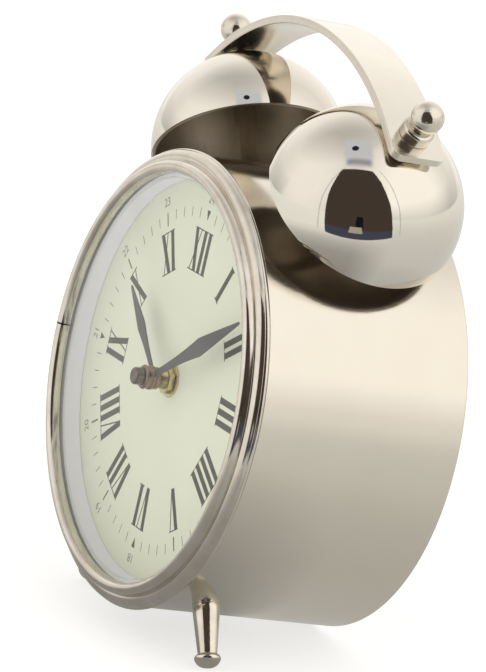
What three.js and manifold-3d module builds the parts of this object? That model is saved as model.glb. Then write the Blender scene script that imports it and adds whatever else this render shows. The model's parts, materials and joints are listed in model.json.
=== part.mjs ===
// Twin-bell table clock: a polished drum on two front feet, with two bells under an arched strap handle.
// Millimetres. The clock is drawn upright round the axis of its drum: X to the right of the dial,
// Y towards the back, Z up, and the face of the dial at y = 0. The finished clock is then leaned back
// until its two feet and the rear edge of its drum stand on z = 0.
import * as THREE from "three";
import { mergeVertices } from "three/addons/utils/BufferGeometryUtils.js";
import Module from "manifold-3d";

const wasm = await Module();
wasm.setup();

// Clearances, and how far a cutting tool runs past the face that it cuts
const seatGap = 0.15;
const fitGap = 0.3;
const runGap = 0.4;
const past = 1;

// Sides of the round pieces
const drumSides = 36;
const bellSides = 28;
const turnedSides = 16;
const holeSides = 12;

// Drum, back cover and its screws
const drumRadius = 97;
const drumWall = 1.2;
const drumFront = -5.5;
const drumRear = 89;
const drumEdgeRound = 0.9;
const flangeThickness = 1.2;
const dialFlangeWidth = 8;
const rearFlangeWidth = 9;
const rearRecess = 1.6;
const coverThickness = 1;
const coverBeadRise = 1.4;
const coverBeadWidth = 9;
const coverBeadInset = 9;
const accessRadius = 55;
const accessHem = 3;
const coverScrewCount = 4;
const screwHeadRadius = 2.6;
const screwHeadHeight = 1.6;
const screwShankRadius = 1.3;
const screwReach = 4;

// Bezel, glass, ring and dial
const bezelOverhang = 1.5;
const bezelShadowGap = 0.8;
const rearBeadDepth = 2.1;
const rearBeadInset = 0.7;
const rearBeadRise = 0.5;
const stepInset = 0.3;
const smallStepDepth = 0.9;
const middleBeadWidth = 4.5;
const middleBeadSlope = 1.4;
const middleBeadRise = 0.8;
const largeStepDepth = 1.3;
const mainBeadWidth = 5;
const mainBeadRise = 2.55;
const lipDepth = 2.7;
const skirtWall = 1.2;
const glassThickness = 1.6;
const glassClearance = 2;
const glassEdgeClearance = 1;
const ringSetBack = 0.5;
const ringTaper = 2.2;
const dialThickness = 0.8;

// Bells, posts and finials
const bellAngle = THREE.MathUtils.degToRad(29.85);
const bellTilt = THREE.MathUtils.degToRad(38.65);
const bellLift = 12.9;
const bellDepth = 40.3;
const bellRadius = 42.7;
const bellHeight = 42;
const bellWall = 1.1;
const bellLip = 0.7;
const bellSeatRadius = 6.5;
const spacerRadius = 5;
const studRadius = 2.5;
const saddleRadius = 6;
const saddleThickness = 2.5;
const studNutAcross = 8;
const studNutHeight = 4;
const studTail = 3;
const padRadius = 6;
const padThickness = 1;
const finialCollarRadius = 7;
const finialCollarHeight = 5.4;
const finialShoulder = 1.2;
const finialNeckRadius = 4.2;
const finialNeckHeight = 0.6;
const finialBallRadius = 7;
const finialBoreDepth = 5;

// Strap handle
const strapWidth = 25;
const strapThickness = 3.6;
const strapBevel = 0.7;
const strapTab = 12;
const strapCorner = 4;

// Feet
const footAngle = THREE.MathUtils.degToRad(31);
const footDepth = 14;
const footTopRadius = 5.9;
const footShoulder = 1.5;
const footNeckRadius = 4.1;
const footConeLength = 21.2;
const footBeadRadius = 5.5;
const footBeadHeight = 5.8;
const footFlat = 0.3;
const footScrewRadius = 2;
const footScrewHeadRadius = 4.2;
const footScrewHeadHeight = 2;
const footScrewDepth = 10;

// Stack of the hub, counted forwards from the dial
const washerRadius = 7.4;
const washerThickness = 0.7;
const dialNutAcross = 10.6;
const dialNutHeight = 2.4;
const bushRadius = 4;
const bushProud = 6.6;
const bushFlangeRadius = 7;
const bushFlangeHeight = 1;
const hourColletRadius = 4.8;
const hourColletLength = 2;
const minuteColletRadius = 5.2;
const minuteColletLength = 4.6;
const minuteBladeSetBack = 0.5;
const handThickness = 0.5;
const capRadius = 3.7;
const capHeight = 3.9;
const capRound = 1;

// Hands
const hourReach = 50.5;
const hourWidth = 6.4;
const hourRootWidth = 2.8;
const minuteTipGap = 6.2;
const minuteWidth = 8.2;
const minuteRootWidth = 3;
const handTipWidth = 1.3;
const hourTime = 10 + 15 / 60;
const minuteTime = 9.7;

// Movement and battery
const gasketRadius = 10;
const gasketThickness = 1;
const batteryRadius = 7.15;
const batteryLength = 50.3;
const batteryNubRadius = 2.75;
const batteryNubLength = 1.3;
const batteryEdge = 0.5;
const contactThickness = 0.5;
const contactWidth = 10;
const movementHeight = 56;
const movementWall = 1.2;
const movementRound = 5;
const roomRound = 1.2;
const bayClear = 0.5;
const backPlate = 1.2;
const coilRadius = 3.2;
const coilInset = 6;
const boardThickness = 1;
const chipRadius = 2.6;
const chipHeight = 1;

// Motion work
const trainModule = 0.5;
const cannonTeeth = 12;
const minuteWheelTeeth = 36;
const setPinionTeeth = 12;
const minutePinionTeeth = 10;
const hourWheelTeeth = 40;
const minuteWheelAngle = THREE.MathUtils.degToRad(45);
const setWheelAngle = THREE.MathUtils.degToRad(135);
const wheelThickness = 1;
const arborRadius = 1.6;
const hourTubeRadius = 2.5;
const pivotRadius = 0.9;
const cupRadius = 2.3;
const cupHeight = 1.6;
const setShaftRadius = 1.5;
const setKnobRadius = 5.5;
const setKnobHeight = 4.6;
const setKnobRibs = 18;
const setKnobRibDepth = 0.5;

// Shell, worked out from the sizes above
const drumInner = drumRadius - drumWall;
const drumInnerFlat = drumInner * Math.cos(Math.PI / drumSides);
const dialFlangeFront = dialThickness + seatGap;
const coverBack = drumRear - rearRecess - coverBeadRise;
const coverFront = coverBack - coverThickness;
const rearFlangeBack = coverFront - seatGap;
const coverRadius = drumInner - fitGap;
const coverScrewCircle = drumInner - rearFlangeWidth / 2;
const coverScrewPlaces = Array.from({ length: coverScrewCount }, (_, i) => {
  const angle = ((i + 0.5) * 2 * Math.PI) / coverScrewCount;
  return [coverScrewCircle * Math.cos(angle), coverScrewCircle * Math.sin(angle)];
});

// Hub
const hubNutBack = washerThickness + 2 * seatGap;
const hourColletBack = bushProud + runGap;
const hourColletFront = hourColletBack + hourColletLength;
const minuteColletBack = hourColletFront + runGap;
const minuteColletFront = minuteColletBack + minuteColletLength;
const capBack = minuteColletFront + seatGap;
const capFront = capBack + capHeight;
const arborFront = capBack + capHeight / 2;
const minuteBladeFront = minuteColletBack + minuteBladeSetBack + handThickness;
const hourBladeFront = (hourColletBack + hourColletFront + handThickness) / 2;

// Bezel and glass
const bezelRadius = drumRadius + bezelOverhang;
const bezelBack = drumFront - bezelShadowGap;
const rearBeadFront = bezelBack - rearBeadDepth;
const rearBeadInner = bezelRadius - rearBeadInset;
const middleBeadBack = rearBeadFront - smallStepDepth;
const middleBeadFront = middleBeadBack - middleBeadSlope;
const middleBeadOuter = rearBeadInner - stepInset;
const middleBeadInner = middleBeadOuter - middleBeadWidth;
const lipFront = middleBeadFront - largeStepDepth;
const lipBack = lipFront + lipDepth;
const mainBeadOuter = middleBeadInner - stepInset;
const openingRadius = mainBeadOuter - mainBeadWidth;
const skirtOuter = drumInner - fitGap;
const skirtInner = skirtOuter - skirtWall;
const glassFront = lipBack + seatGap;
const glassBack = glassFront + glassThickness;
const glassRadius = skirtInner - fitGap;
const glassWindow = openingRadius - fitGap;
const glassInside = glassWindow - glassThickness;
const glassCentre = capFront + glassClearance;
const glassRise = glassCentre - minuteBladeFront - glassEdgeClearance;
const glassSphere = (glassInside ** 2 + glassRise ** 2) / (2 * glassRise);
const minuteReach = glassInside - minuteTipGap;

// Bell stack, counted outwards from the bell's mouth along its axis
const bellAxis = new THREE.Vector2(Math.sin(bellTilt), Math.cos(bellTilt));
const bellMouth = new THREE.Vector2(Math.sin(bellAngle), Math.cos(bellAngle));
bellMouth.multiplyScalar(drumRadius + bellLift);
const saddleTop = -mouthTo(drumInnerFlat) - fitGap;
const studNutTop = saddleTop - saddleThickness - seatGap;
const studNutBottom = studNutTop - studNutHeight;
const padBottom = bellHeight + seatGap;
const strapBottom = padBottom + padThickness + fitGap;
const strapTop = strapBottom + strapThickness;
const finialBottom = strapTop + seatGap;
const studTop = finialBottom + finialBoreDepth;
const strapSeat = bellAxis.clone().multiplyScalar(strapTop).add(bellMouth);
const strapRadius = strapSeat.x / Math.sin(bellTilt);
const strapCentre = strapSeat.y - strapRadius * Math.cos(bellTilt);

// Movement, counted backwards from the dial
const gasketBack = dialThickness + seatGap + gasketThickness;
const movementFront = gasketBack + seatGap;
const bayFloor = movementFront + movementWall;
const batteryDepth = bayFloor + bayClear + batteryRadius;
const movementBack = batteryDepth + batteryRadius;
const backPlateFront = movementBack - backPlate;
const bayLength = batteryLength + 2 * (contactThickness + bayClear);
const movementHalf = bayLength / 2 + movementWall;
const movementTop = movementHeight / 2;
const movementBottom = -movementTop;
const batteryHeight = movementBottom + movementWall + bayClear + batteryRadius;
const bayTop = batteryHeight + batteryRadius + bayClear;

// Motion work: the minute wheel and the set pinion stand beside the hands' axis
const trainDistance = (trainModule * (cannonTeeth + minuteWheelTeeth)) / 2;
const setDistance = (trainModule * (minuteWheelTeeth + setPinionTeeth)) / 2;
const hourModule = (2 * trainDistance) / (minutePinionTeeth + hourWheelTeeth);
const minuteWheelX = trainDistance * Math.cos(minuteWheelAngle);
const minuteWheelZ = trainDistance * Math.sin(minuteWheelAngle);
const setX = minuteWheelX + setDistance * Math.cos(setWheelAngle);
const setZ = minuteWheelZ + setDistance * Math.sin(setWheelAngle);
const bushBack = bayFloor + seatGap + bushFlangeHeight;
const hourWheelFront = bushBack + runGap;
const hourWheelBack = hourWheelFront + wheelThickness;
const minuteWheelFront = hourWheelBack + runGap;
const minuteWheelBack = minuteWheelFront + wheelThickness;
const hourPhase = 0;
const cannonPhase = 0;
const minuteWheelPhase = meshedPhase(cannonPhase, cannonTeeth, minuteWheelTeeth, minuteWheelAngle);
const minutePinionPhase = meshedPhase(hourPhase, hourWheelTeeth, minutePinionTeeth, minuteWheelAngle);
const setPhase = meshedPhase(minuteWheelPhase, minuteWheelTeeth, setPinionTeeth, setWheelAngle);

const nickel = metal(0xcfc4b4, 0.18);
const bellNickel = metal(0xb9aea2, 0.08);
const steel = metal(0x8f8a86, 0.35);
const brass = metal(0xb49a5a, 0.3);
const capMetal = metal(0x4c4240, 0.35);
const handPaint = paint(0x5b575c, 0.5);
const dialPaint = paint(0xdcdfc8, 0.6);
const ringPaint = paint(0xd0d0d4, 0.5);
const blackPlastic = paint(0x1c1c1e, 0.5);
const greenBoard = paint(0x2f5a3c, 0.6);
const whitePlastic = paint(0xe6e4dd, 0.45);
const rubber = paint(0x2b2b2b, 0.9);
const cellWrap = paint(0x3c5a78, 0.4);
const clearGlass = paint(0xf4f8f6, 0.03);
clearGlass.transparent = true;
clearGlass.opacity = 0.2;

function metal(color, roughness) {
  return new THREE.MeshStandardMaterial({ color, roughness, metalness: 1 });
}

function paint(color, roughness) {
  return new THREE.MeshStandardMaterial({ color, roughness, metalness: 0 });
}

// Distance from the middle of a bell's mouth, back along its axis, to a circle round the drum's axis
function mouthTo(radius) {
  const along = bellMouth.dot(bellAxis);
  return along - Math.sqrt(along ** 2 - bellMouth.lengthSq() + radius ** 2);
}

// Points of an outline: each step is a corner, or the end of an arc that bulges to the left of its chord
function outline(start, ...steps) {
  const points = [new THREE.Vector2(...start)];
  for (const [x, y, bulge = 0, parts = 4] of steps) {
    const to = new THREE.Vector2(x, y);
    if (bulge) points.push(...arcBetween(points.at(-1), to, bulge, parts));
    points.push(to);
  }
  return points;
}

function arcBetween(from, to, bulge, parts) {
  const along = to.clone().sub(from);
  const half = along.length() / 2;
  along.normalize();
  const left = new THREE.Vector2(-along.y, along.x).multiplyScalar(Math.sign(bulge));
  const rise = Math.abs(bulge);
  const radius = (half ** 2 + rise ** 2) / (2 * rise);
  const centre = from.clone().lerp(to, 0.5).addScaledVector(left, rise - radius);
  const halfAngle = 2 * Math.atan2(rise, half);
  return Array.from({ length: parts - 1 }, (_, i) => {
    const angle = halfAngle * ((2 * (i + 1)) / parts - 1);
    const point = centre.clone().addScaledVector(left, radius * Math.cos(angle));
    return point.addScaledVector(along, radius * Math.sin(angle));
  });
}

// A section in radius and y, closed on the axis or on itself, turned round the Y axis
function turned(points, sides) {
  const onAxis = points[0].x === 0 && points.at(-1).x === 0;
  const section = onAxis ? [...points] : [...points, points[0].clone()];
  if (THREE.ShapeUtils.area(section) < 0) section.reverse();
  return new THREE.LatheGeometry(section, sides);
}

function tube(inner, outer, yLow, yHigh, sides = turnedSides) {
  return turned(outline([inner, yLow], [outer, yLow], [outer, yHigh], [inner, yHigh]), sides);
}

function bar(radius, yLow, yHigh, sides = holeSides) {
  const geometry = new THREE.CylinderGeometry(radius, radius, yHigh - yLow, sides);
  return geometry.translate(0, (yLow + yHigh) / 2, 0);
}

// A shape drawn in X and Z, given thickness from yLow to yHigh
function plate(shape, yLow, yHigh, curveSegments = 3) {
  const depth = yHigh - yLow;
  const geometry = new THREE.ExtrudeGeometry(shape, { depth, bevelEnabled: false, curveSegments });
  return geometry.rotateX(Math.PI / 2).translate(0, yHigh, 0);
}

function solid(geometry) {
  const bare = geometry.clone();
  bare.deleteAttribute("normal");
  bare.deleteAttribute("uv");
  const merged = mergeVertices(bare, 1e-4);
  const vertProperties = new Float32Array(merged.attributes.position.array);
  const triVerts = new Uint32Array(merged.index.array);
  return new wasm.Manifold(new wasm.Mesh({ numProp: 3, vertProperties, triVerts }));
}

function geometryOf(manifold) {
  const mesh = manifold.getMesh();
  const geometry = new THREE.BufferGeometry();
  geometry.setAttribute("position", new THREE.BufferAttribute(mesh.vertProperties, 3));
  geometry.setIndex(new THREE.BufferAttribute(mesh.triVerts, 1));
  return geometry;
}

function joined(...geometries) {
  return geometryOf(geometries.map(solid).reduce((a, b) => a.add(b)));
}

function cut(geometry, ...tools) {
  return geometryOf(tools.map(solid).reduce((a, b) => a.subtract(b), solid(geometry)));
}

function within(geometry, tool) {
  return geometryOf(solid(geometry).intersect(solid(tool)));
}

function polygon(points) {
  return new THREE.Shape(points.map(([x, y]) => new THREE.Vector2(x, y)));
}

function hexagon(across) {
  const corner = across / Math.sqrt(3);
  const corners = Array.from({ length: 6 }, (_, i) => {
    const angle = (i * Math.PI) / 3;
    return [corner * Math.cos(angle), corner * Math.sin(angle)];
  });
  return polygon(corners);
}

function hexNut(across, yLow, yHigh, boreRadius) {
  return cut(plate(hexagon(across), yLow, yHigh), bar(boreRadius, yLow - past, yHigh + past));
}

function roundedBox(x0, z0, x1, z1, round) {
  const shape = new THREE.Shape();
  shape.absarc(x1 - round, z0 + round, round, -Math.PI / 2, 0);
  shape.absarc(x1 - round, z1 - round, round, 0, Math.PI / 2);
  shape.absarc(x0 + round, z1 - round, round, Math.PI / 2, Math.PI);
  shape.absarc(x0 + round, z0 + round, round, Math.PI, 1.5 * Math.PI);
  return shape.closePath();
}

// Teeth with straight flanks between a root and a tip circle, thin enough to run with play
function gearShape(teeth, module, phase) {
  const pitch = (2 * Math.PI) / teeth;
  const pitchRadius = (module * teeth) / 2;
  const root = pitchRadius - 1.15 * module;
  const tip = pitchRadius + 0.8 * module;
  const tooth = [
    [root, -0.27],
    [tip, -0.1],
    [tip, 0.1],
    [root, 0.27],
  ];
  const points = [];
  for (let i = 0; i < teeth; i++) {
    for (const [radius, share] of tooth) {
      const angle = phase + (i + share) * pitch;
      points.push([radius * Math.cos(angle), radius * Math.sin(angle)]);
    }
  }
  return polygon(points);
}

// Phase of a wheel that puts a gap where its neighbour, on the far side of the direction, has a tooth
function meshedPhase(phase, teeth, neighbourTeeth, direction) {
  const pitch = (2 * Math.PI) / teeth;
  const neighbourPitch = (2 * Math.PI) / neighbourTeeth;
  return direction + Math.PI - neighbourPitch * (0.5 + (phase - direction) / pitch);
}

// Place whose own Y axis points outwards at an angle from the top of the dial
function spoke(angle, x, y, z) {
  const place = new THREE.Matrix4().makeTranslation(x, y, z);
  const turn = new THREE.Euler(Math.PI / 2, angle, 0, "YXZ");
  return place.multiply(new THREE.Matrix4().makeRotationFromEuler(turn));
}

function drum() {
  const flangeInner = drumInner - dialFlangeWidth;
  const rearInner = drumInner - rearFlangeWidth;
  const shell = turned(
    outline(
      [drumInner, drumFront],
      [drumRadius, drumFront],
      [drumRadius, drumRear - drumEdgeRound],
      [drumRadius - drumEdgeRound, drumRear, -0.29 * drumEdgeRound, 2],
      [drumInner, drumRear],
      [drumInner, rearFlangeBack],
      [rearInner, rearFlangeBack],
      [rearInner, rearFlangeBack - flangeThickness],
      [drumInner, rearFlangeBack - flangeThickness],
      [drumInner, dialFlangeFront + flangeThickness],
      [flangeInner, dialFlangeFront + flangeThickness],
      [flangeInner, dialFlangeFront],
      [drumInner, dialFlangeFront],
    ),
    drumSides,
  );
  const studHole = bar(studRadius + fitGap, studNutBottom, 0);
  const footHole = bar(footScrewRadius + fitGap, drumInnerFlat - past, drumRadius + past);
  const holes = coverScrewHoles();
  for (const place of bellPlaces) holes.push(studHole.clone().applyMatrix4(place));
  for (const place of footPlaces) holes.push(footHole.clone().applyMatrix4(place));
  return cut(shell, ...holes);
}

function coverScrewHoles() {
  const radius = screwShankRadius + fitGap;
  const low = rearFlangeBack - flangeThickness - past;
  return coverScrewPlaces.map(([x, z]) => bar(radius, low, coverBack + past).translate(x, 0, z));
}

// Bezel: a round main bead at the opening, a step down to a sloping middle bead, a rear bead, and a skirt
function bezel() {
  return turned(
    outline(
      [openingRadius, lipBack],
      [openingRadius, lipFront],
      [mainBeadOuter, lipFront, -mainBeadRise, 6],
      [middleBeadInner, middleBeadFront],
      [middleBeadOuter, middleBeadBack, -middleBeadRise, 4],
      [rearBeadInner, rearBeadFront],
      [bezelRadius - rearBeadInset / 2, bezelBack, -rearBeadRise, 3],
      [skirtOuter, bezelBack],
      [skirtOuter, -seatGap],
      [skirtInner, -seatGap],
      [skirtInner, lipBack],
    ),
    drumSides,
  );
}

// Domed glass with a flange that lies behind the bezel's lip
function glass() {
  const steps = 5;
  const centre = glassSphere - glassCentre;
  const surface = (radius, reach) =>
    Array.from({ length: steps + 1 }, (_, i) => {
      const r = (reach * i) / steps;
      return new THREE.Vector2(r, centre - Math.sqrt(radius ** 2 - r ** 2));
    });
  const flange = outline(
    [glassWindow, glassFront],
    [glassRadius, glassFront],
    [glassRadius, glassBack],
    [glassInside, glassBack],
  );
  const outside = surface(glassSphere + glassThickness, glassWindow);
  const inside = surface(glassSphere, glassInside).reverse();
  return turned([...outside, ...flange, ...inside], drumSides);
}

function dialRing() {
  const front = glassBack + seatGap;
  const ringFront = openingRadius + ringSetBack;
  return turned(
    outline(
      [ringFront, front],
      [glassRadius, front],
      [glassRadius, -seatGap],
      [ringFront - ringTaper, -seatGap],
    ),
    drumSides,
  );
}

function dial() {
  return tube(bushRadius + fitGap, drumInner - fitGap, 0, dialThickness, drumSides);
}

// Back cover: a sheet disc with a raised bead and a hemmed opening that leaves the movement in reach
function backCover() {
  const beadInner = accessRadius + coverBeadInset;
  const beadOuter = beadInner + coverBeadWidth;
  const hemOuter = accessRadius + coverThickness;
  const pan = turned(
    outline(
      [accessRadius, coverFront - accessHem],
      [hemOuter, coverFront - accessHem],
      [hemOuter, coverFront],
      [beadInner, coverFront],
      [beadOuter, coverFront, coverBeadRise, 3],
      [coverRadius, coverFront],
      [coverRadius, coverBack],
      [beadOuter, coverBack],
      [beadInner, coverBack, -coverBeadRise, 3],
      [accessRadius, coverBack],
    ),
    drumSides,
  );
  return cut(pan, ...coverScrewHoles());
}

function coverScrew() {
  const seat = coverBack + seatGap;
  return turned(
    outline(
      [0, rearFlangeBack - screwReach],
      [screwShankRadius, rearFlangeBack - screwReach],
      [screwShankRadius, seat],
      [screwHeadRadius, seat],
      [screwHeadRadius, seat + screwHeadHeight / 2],
      [0, seat + screwHeadHeight],
    ),
    holeSides,
  );
}

// Half of a bell's section from its mouth to its flat seat, as a quarter of an ellipse
function bellCurve(radius, height, steps) {
  const last = Math.acos(bellSeatRadius / radius);
  return Array.from({ length: steps + 1 }, (_, i) => {
    const angle = (last * i) / steps;
    const y = (height * Math.sin(angle)) / Math.sin(last);
    return new THREE.Vector2(radius * Math.cos(angle), y);
  });
}

function bellShell() {
  const bore = studRadius + fitGap;
  const outside = bellCurve(bellRadius, bellHeight, 7);
  const inside = bellCurve(bellRadius - bellWall, bellHeight - bellWall, 6).reverse();
  const seat = outline([bore, bellHeight], [bore, bellHeight - bellWall]);
  const lip = outline(
    [bellRadius - bellWall - bellLip, 0],
    [bellRadius, 0, bellLip, 3],
  );
  return turned([...outside, ...seat, ...inside.slice(0, -1), ...lip.slice(0, -1)], bellSides);
}

function bellSpacer(drumTool) {
  const low = -mouthTo(drumRadius) - spacerRadius;
  return cut(tube(studRadius + seatGap, spacerRadius, low, bellHeight - bellWall - seatGap), drumTool);
}

// Shaped washer inside the drum, between its wall and the nut on the stud
function saddle(drumHollow) {
  const low = studNutTop + seatGap;
  return within(tube(studRadius + seatGap, saddleRadius, low, low + saddleThickness + saddleRadius), drumHollow);
}

function finial() {
  const collarTop = finialBottom + finialCollarHeight;
  const neckTop = collarTop + finialNeckHeight;
  const ballRise = Math.sqrt(finialBallRadius ** 2 - finialNeckRadius ** 2);
  const start = Math.atan2(-ballRise, finialNeckRadius);
  const steps = 7;
  const ball = Array.from({ length: steps + 1 }, (_, i) => {
    const angle = start + ((Math.PI / 2 - start) * i) / steps;
    const r = i === steps ? 0 : finialBallRadius * Math.cos(angle);
    return new THREE.Vector2(r, neckTop + ballRise + finialBallRadius * Math.sin(angle));
  });
  const bore = studRadius + seatGap;
  const body = outline(
    [0, studTop + seatGap],
    [bore, studTop + seatGap],
    [bore, finialBottom],
    [finialCollarRadius, finialBottom],
    [finialCollarRadius, collarTop - finialShoulder],
    [finialNeckRadius, collarTop, -finialShoulder / 2, 3],
  );
  return turned([...body, ...ball], turnedSides);
}

// Strap handle: a bevelled bar arched from bell to bell, whose flat ends lie square to the bell posts
function strap() {
  const steps = 16;
  const arc = (radius) =>
    Array.from({ length: steps + 1 }, (_, i) => {
      const angle = bellTilt * (1 - (2 * i) / steps);
      return new THREE.Vector2(radius * Math.sin(angle), strapCentre + radius * Math.cos(angle));
    });
  const outer = arc(strapRadius);
  const inner = arc(strapRadius - strapThickness).reverse();
  const rightEnd = new THREE.Vector2(Math.cos(bellTilt), -Math.sin(bellTilt)).multiplyScalar(strapTab);
  const leftEnd = new THREE.Vector2(-rightEnd.x, rightEnd.y);
  const side = new THREE.Shape([
    outer[0].clone().add(rightEnd),
    ...outer,
    outer.at(-1).clone().add(leftEnd),
    inner[0].clone().add(leftEnd),
    ...inner,
    inner.at(-1).clone().add(rightEnd),
  ]);
  const depth = strapWidth - 2 * strapBevel;
  const geometry = new THREE.ExtrudeGeometry(side, {
    depth,
    bevelThickness: strapBevel,
    bevelSize: strapBevel,
    bevelOffset: -strapBevel,
    bevelSegments: 1,
  });
  geometry.rotateX(Math.PI / 2).translate(0, bellDepth + depth / 2, 0);
  return cut(geometry, ...bellPlaces.flatMap((place, i) => strapEndTools(i ? 1 : -1, place)));
}

// Tools for one end of the strap: the hole for the stud, and the waste outside the rounded corners
function strapEndTools(side, place) {
  const low = strapBottom - past;
  const high = strapTop + past;
  const half = strapWidth / 2;
  const waste = new THREE.Shape();
  waste.moveTo(strapTab - strapCorner, half + past);
  waste.lineTo(strapTab + past, half + past);
  waste.lineTo(strapTab + past, half - strapCorner);
  waste.lineTo(strapTab, half - strapCorner);
  waste.absarc(strapTab - strapCorner, half - strapCorner, strapCorner, 0, Math.PI / 2);
  const corner = plate(waste.closePath(), low, high, 4);
  const corners = [corner.clone(), corner.clone().rotateZ(Math.PI).translate(0, low + high, 0)];
  if (side > 0) corners[1].rotateY(Math.PI);
  else corners[0].rotateY(Math.PI);
  const tools = [bar(studRadius + fitGap, low, high), ...corners];
  return tools.map((tool) => tool.applyMatrix4(place));
}

// Foot: a cone that stands on the drum, with a flattened bead at its end
function foot(drumTool) {
  const boreTop = drumRadius + footScrewDepth + seatGap;
  const bore = footScrewRadius + seatGap;
  const neck = drumRadius + footConeLength;
  const widest = neck + 0.45 * footBeadHeight;
  const body = turned(
    outline(
      [0, boreTop],
      [bore, boreTop],
      [bore, drumInner],
      [footTopRadius, drumInner],
      [footTopRadius, drumRadius + footShoulder],
      [footNeckRadius, neck],
      [footBeadRadius, widest, -0.7, 3],
      [0, neck + footBeadHeight, -1.1, 5],
    ),
    turnedSides,
  );
  return cut(body, drumTool);
}

function footScrew() {
  const head = drumInnerFlat - fitGap;
  return turned(
    outline(
      [0, head - footScrewHeadHeight],
      [footScrewHeadRadius - footScrewHeadHeight / 2, head - footScrewHeadHeight],
      [footScrewHeadRadius, head - footScrewHeadHeight / 2],
      [footScrewHeadRadius, head],
      [footScrewRadius, head],
      [footScrewRadius, drumRadius + footScrewDepth],
      [0, drumRadius + footScrewDepth],
    ),
    holeSides,
  );
}

// Leaf-shaped blade that points to the top of the dial
function handBlade(reach, width, rootWidth, root, yFront) {
  const widest = 0.56 * reach;
  const half = width / 2;
  const rootHalf = rootWidth / 2;
  const tip = handTipWidth / 2;
  const shape = new THREE.Shape();
  shape.moveTo(-rootHalf, root);
  shape.quadraticCurveTo(-rootHalf, 0.6 * widest, -half, widest);
  shape.quadraticCurveTo(-0.7 * half, 1.3 * widest, -tip, reach - tip);
  shape.lineTo(0, reach);
  shape.lineTo(tip, reach - tip);
  shape.quadraticCurveTo(0.7 * half, 1.3 * widest, half, widest);
  shape.quadraticCurveTo(rootHalf, 0.6 * widest, rootHalf, root);
  return plate(shape.closePath(), -yFront, -yFront + handThickness, 5);
}

function hourHand() {
  const bore = hourTubeRadius + seatGap;
  const collet = tube(bore, hourColletRadius, -hourColletFront, -hourColletBack);
  const root = (bore + hourColletRadius) / 2;
  const blade = handBlade(hourReach, hourWidth, hourRootWidth, root, hourBladeFront);
  return joined(collet, blade).rotateY((hourTime / 12) * 2 * Math.PI);
}

function minuteHand() {
  const bore = arborRadius + seatGap;
  const collet = tube(bore, minuteColletRadius, -minuteColletFront, -minuteColletBack);
  const root = (bore + minuteColletRadius) / 2;
  const blade = handBlade(minuteReach, minuteWidth, minuteRootWidth, root, minuteBladeFront);
  return joined(collet, blade).rotateY((minuteTime / 60) * 2 * Math.PI);
}

function handCap() {
  const bore = arborRadius + seatGap;
  const boreEnd = arborFront + seatGap;
  return turned(
    outline(
      [0, -boreEnd],
      [bore, -boreEnd],
      [bore, -capBack],
      [capRadius, -capBack],
      [capRadius, capRound - capFront],
      [capRadius - capRound, -capFront],
      [0, -capFront],
    ),
    turnedSides,
  );
}

// Bush that holds the movement to the dial: a threaded tube with a flange inside the movement
function centreBush() {
  const bore = hourTubeRadius + seatGap;
  return turned(
    outline(
      [bore, -bushProud],
      [bushRadius, -bushProud],
      [bushRadius, bayFloor + seatGap],
      [bushFlangeRadius, bayFloor + seatGap],
      [bushFlangeRadius, bushBack],
      [bore, bushBack],
    ),
    turnedSides,
  );
}

// Movement case: an open tray with a room for the battery below and one for the wheels above
function movementCase() {
  const round = movementRound;
  const blank = roundedBox(-movementHalf, movementBottom, movementHalf, movementTop, round);
  const inside = movementHalf - movementWall;
  const bay = roundedBox(-inside, movementBottom + movementWall, inside, bayTop, roomRound);
  const room = roundedBox(-inside, bayTop + movementWall, inside, movementTop - movementWall, roomRound);
  const high = movementBack + past;
  return cut(
    plate(blank, movementFront, movementBack),
    plate(bay, bayFloor, high),
    plate(room, bayFloor, high),
    bar(bushRadius + seatGap, movementFront - past, bayFloor + past, turnedSides),
    bar(pivotRadius + seatGap, movementFront - past, bayFloor + past).translate(minuteWheelX, 0, minuteWheelZ),
  );
}

// Cover of the wheel room: it lies inside the case's wall and carries the arbors in two cups
function movementCover() {
  const side = movementHalf - movementWall - seatGap;
  const low = bayTop + movementWall + seatGap;
  const lid = roundedBox(-side, low, side, movementTop - movementWall - seatGap, roomRound);
  const cup = bar(cupRadius, backPlateFront - cupHeight, movementBack);
  const hole = (radius) => bar(radius + seatGap, backPlateFront - cupHeight - past, backPlateFront);
  return cut(
    joined(
      plate(lid, backPlateFront, movementBack),
      cup.clone(),
      cup.clone().translate(minuteWheelX, 0, minuteWheelZ),
    ),
    hole(arborRadius),
    hole(pivotRadius).translate(minuteWheelX, 0, minuteWheelZ),
    bar(setShaftRadius + seatGap, backPlateFront - past, movementBack + past).translate(setX, 0, setZ),
  );
}

// Sealed block with the motor and the train that drives the minute arbor, and its coil
function driveUnit() {
  const left = -movementHalf + movementWall + fitGap;
  const low = bayTop + movementWall + fitGap;
  const high = movementTop - movementWall - fitGap;
  const front = minuteWheelBack + runGap + coilRadius;
  const block = roundedBox(left, low, -cupRadius - fitGap, high, roomRound);
  const coil = new THREE.CylinderGeometry(coilRadius, coilRadius, high - low - coilInset, holeSides);
  coil.rotateX(Math.PI / 2).translate(left + coilInset, front, (high + low) / 2);
  return joined(plate(block, front, backPlateFront - seatGap), coil);
}

function circuitBoard() {
  const back = backPlateFront - seatGap;
  const front = back - boardThickness;
  const left = minuteWheelX + cupRadius + fitGap;
  const right = movementHalf - movementWall - fitGap;
  const low = bayTop + movementWall + fitGap;
  const high = movementTop - movementWall - fitGap;
  const board = plate(roundedBox(left, low, right, high, roomRound), front, back);
  const chip = bar(chipRadius, front - chipHeight, back);
  return joined(board, chip.translate((left + right) / 2, 0, (low + high) / 2));
}

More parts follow.
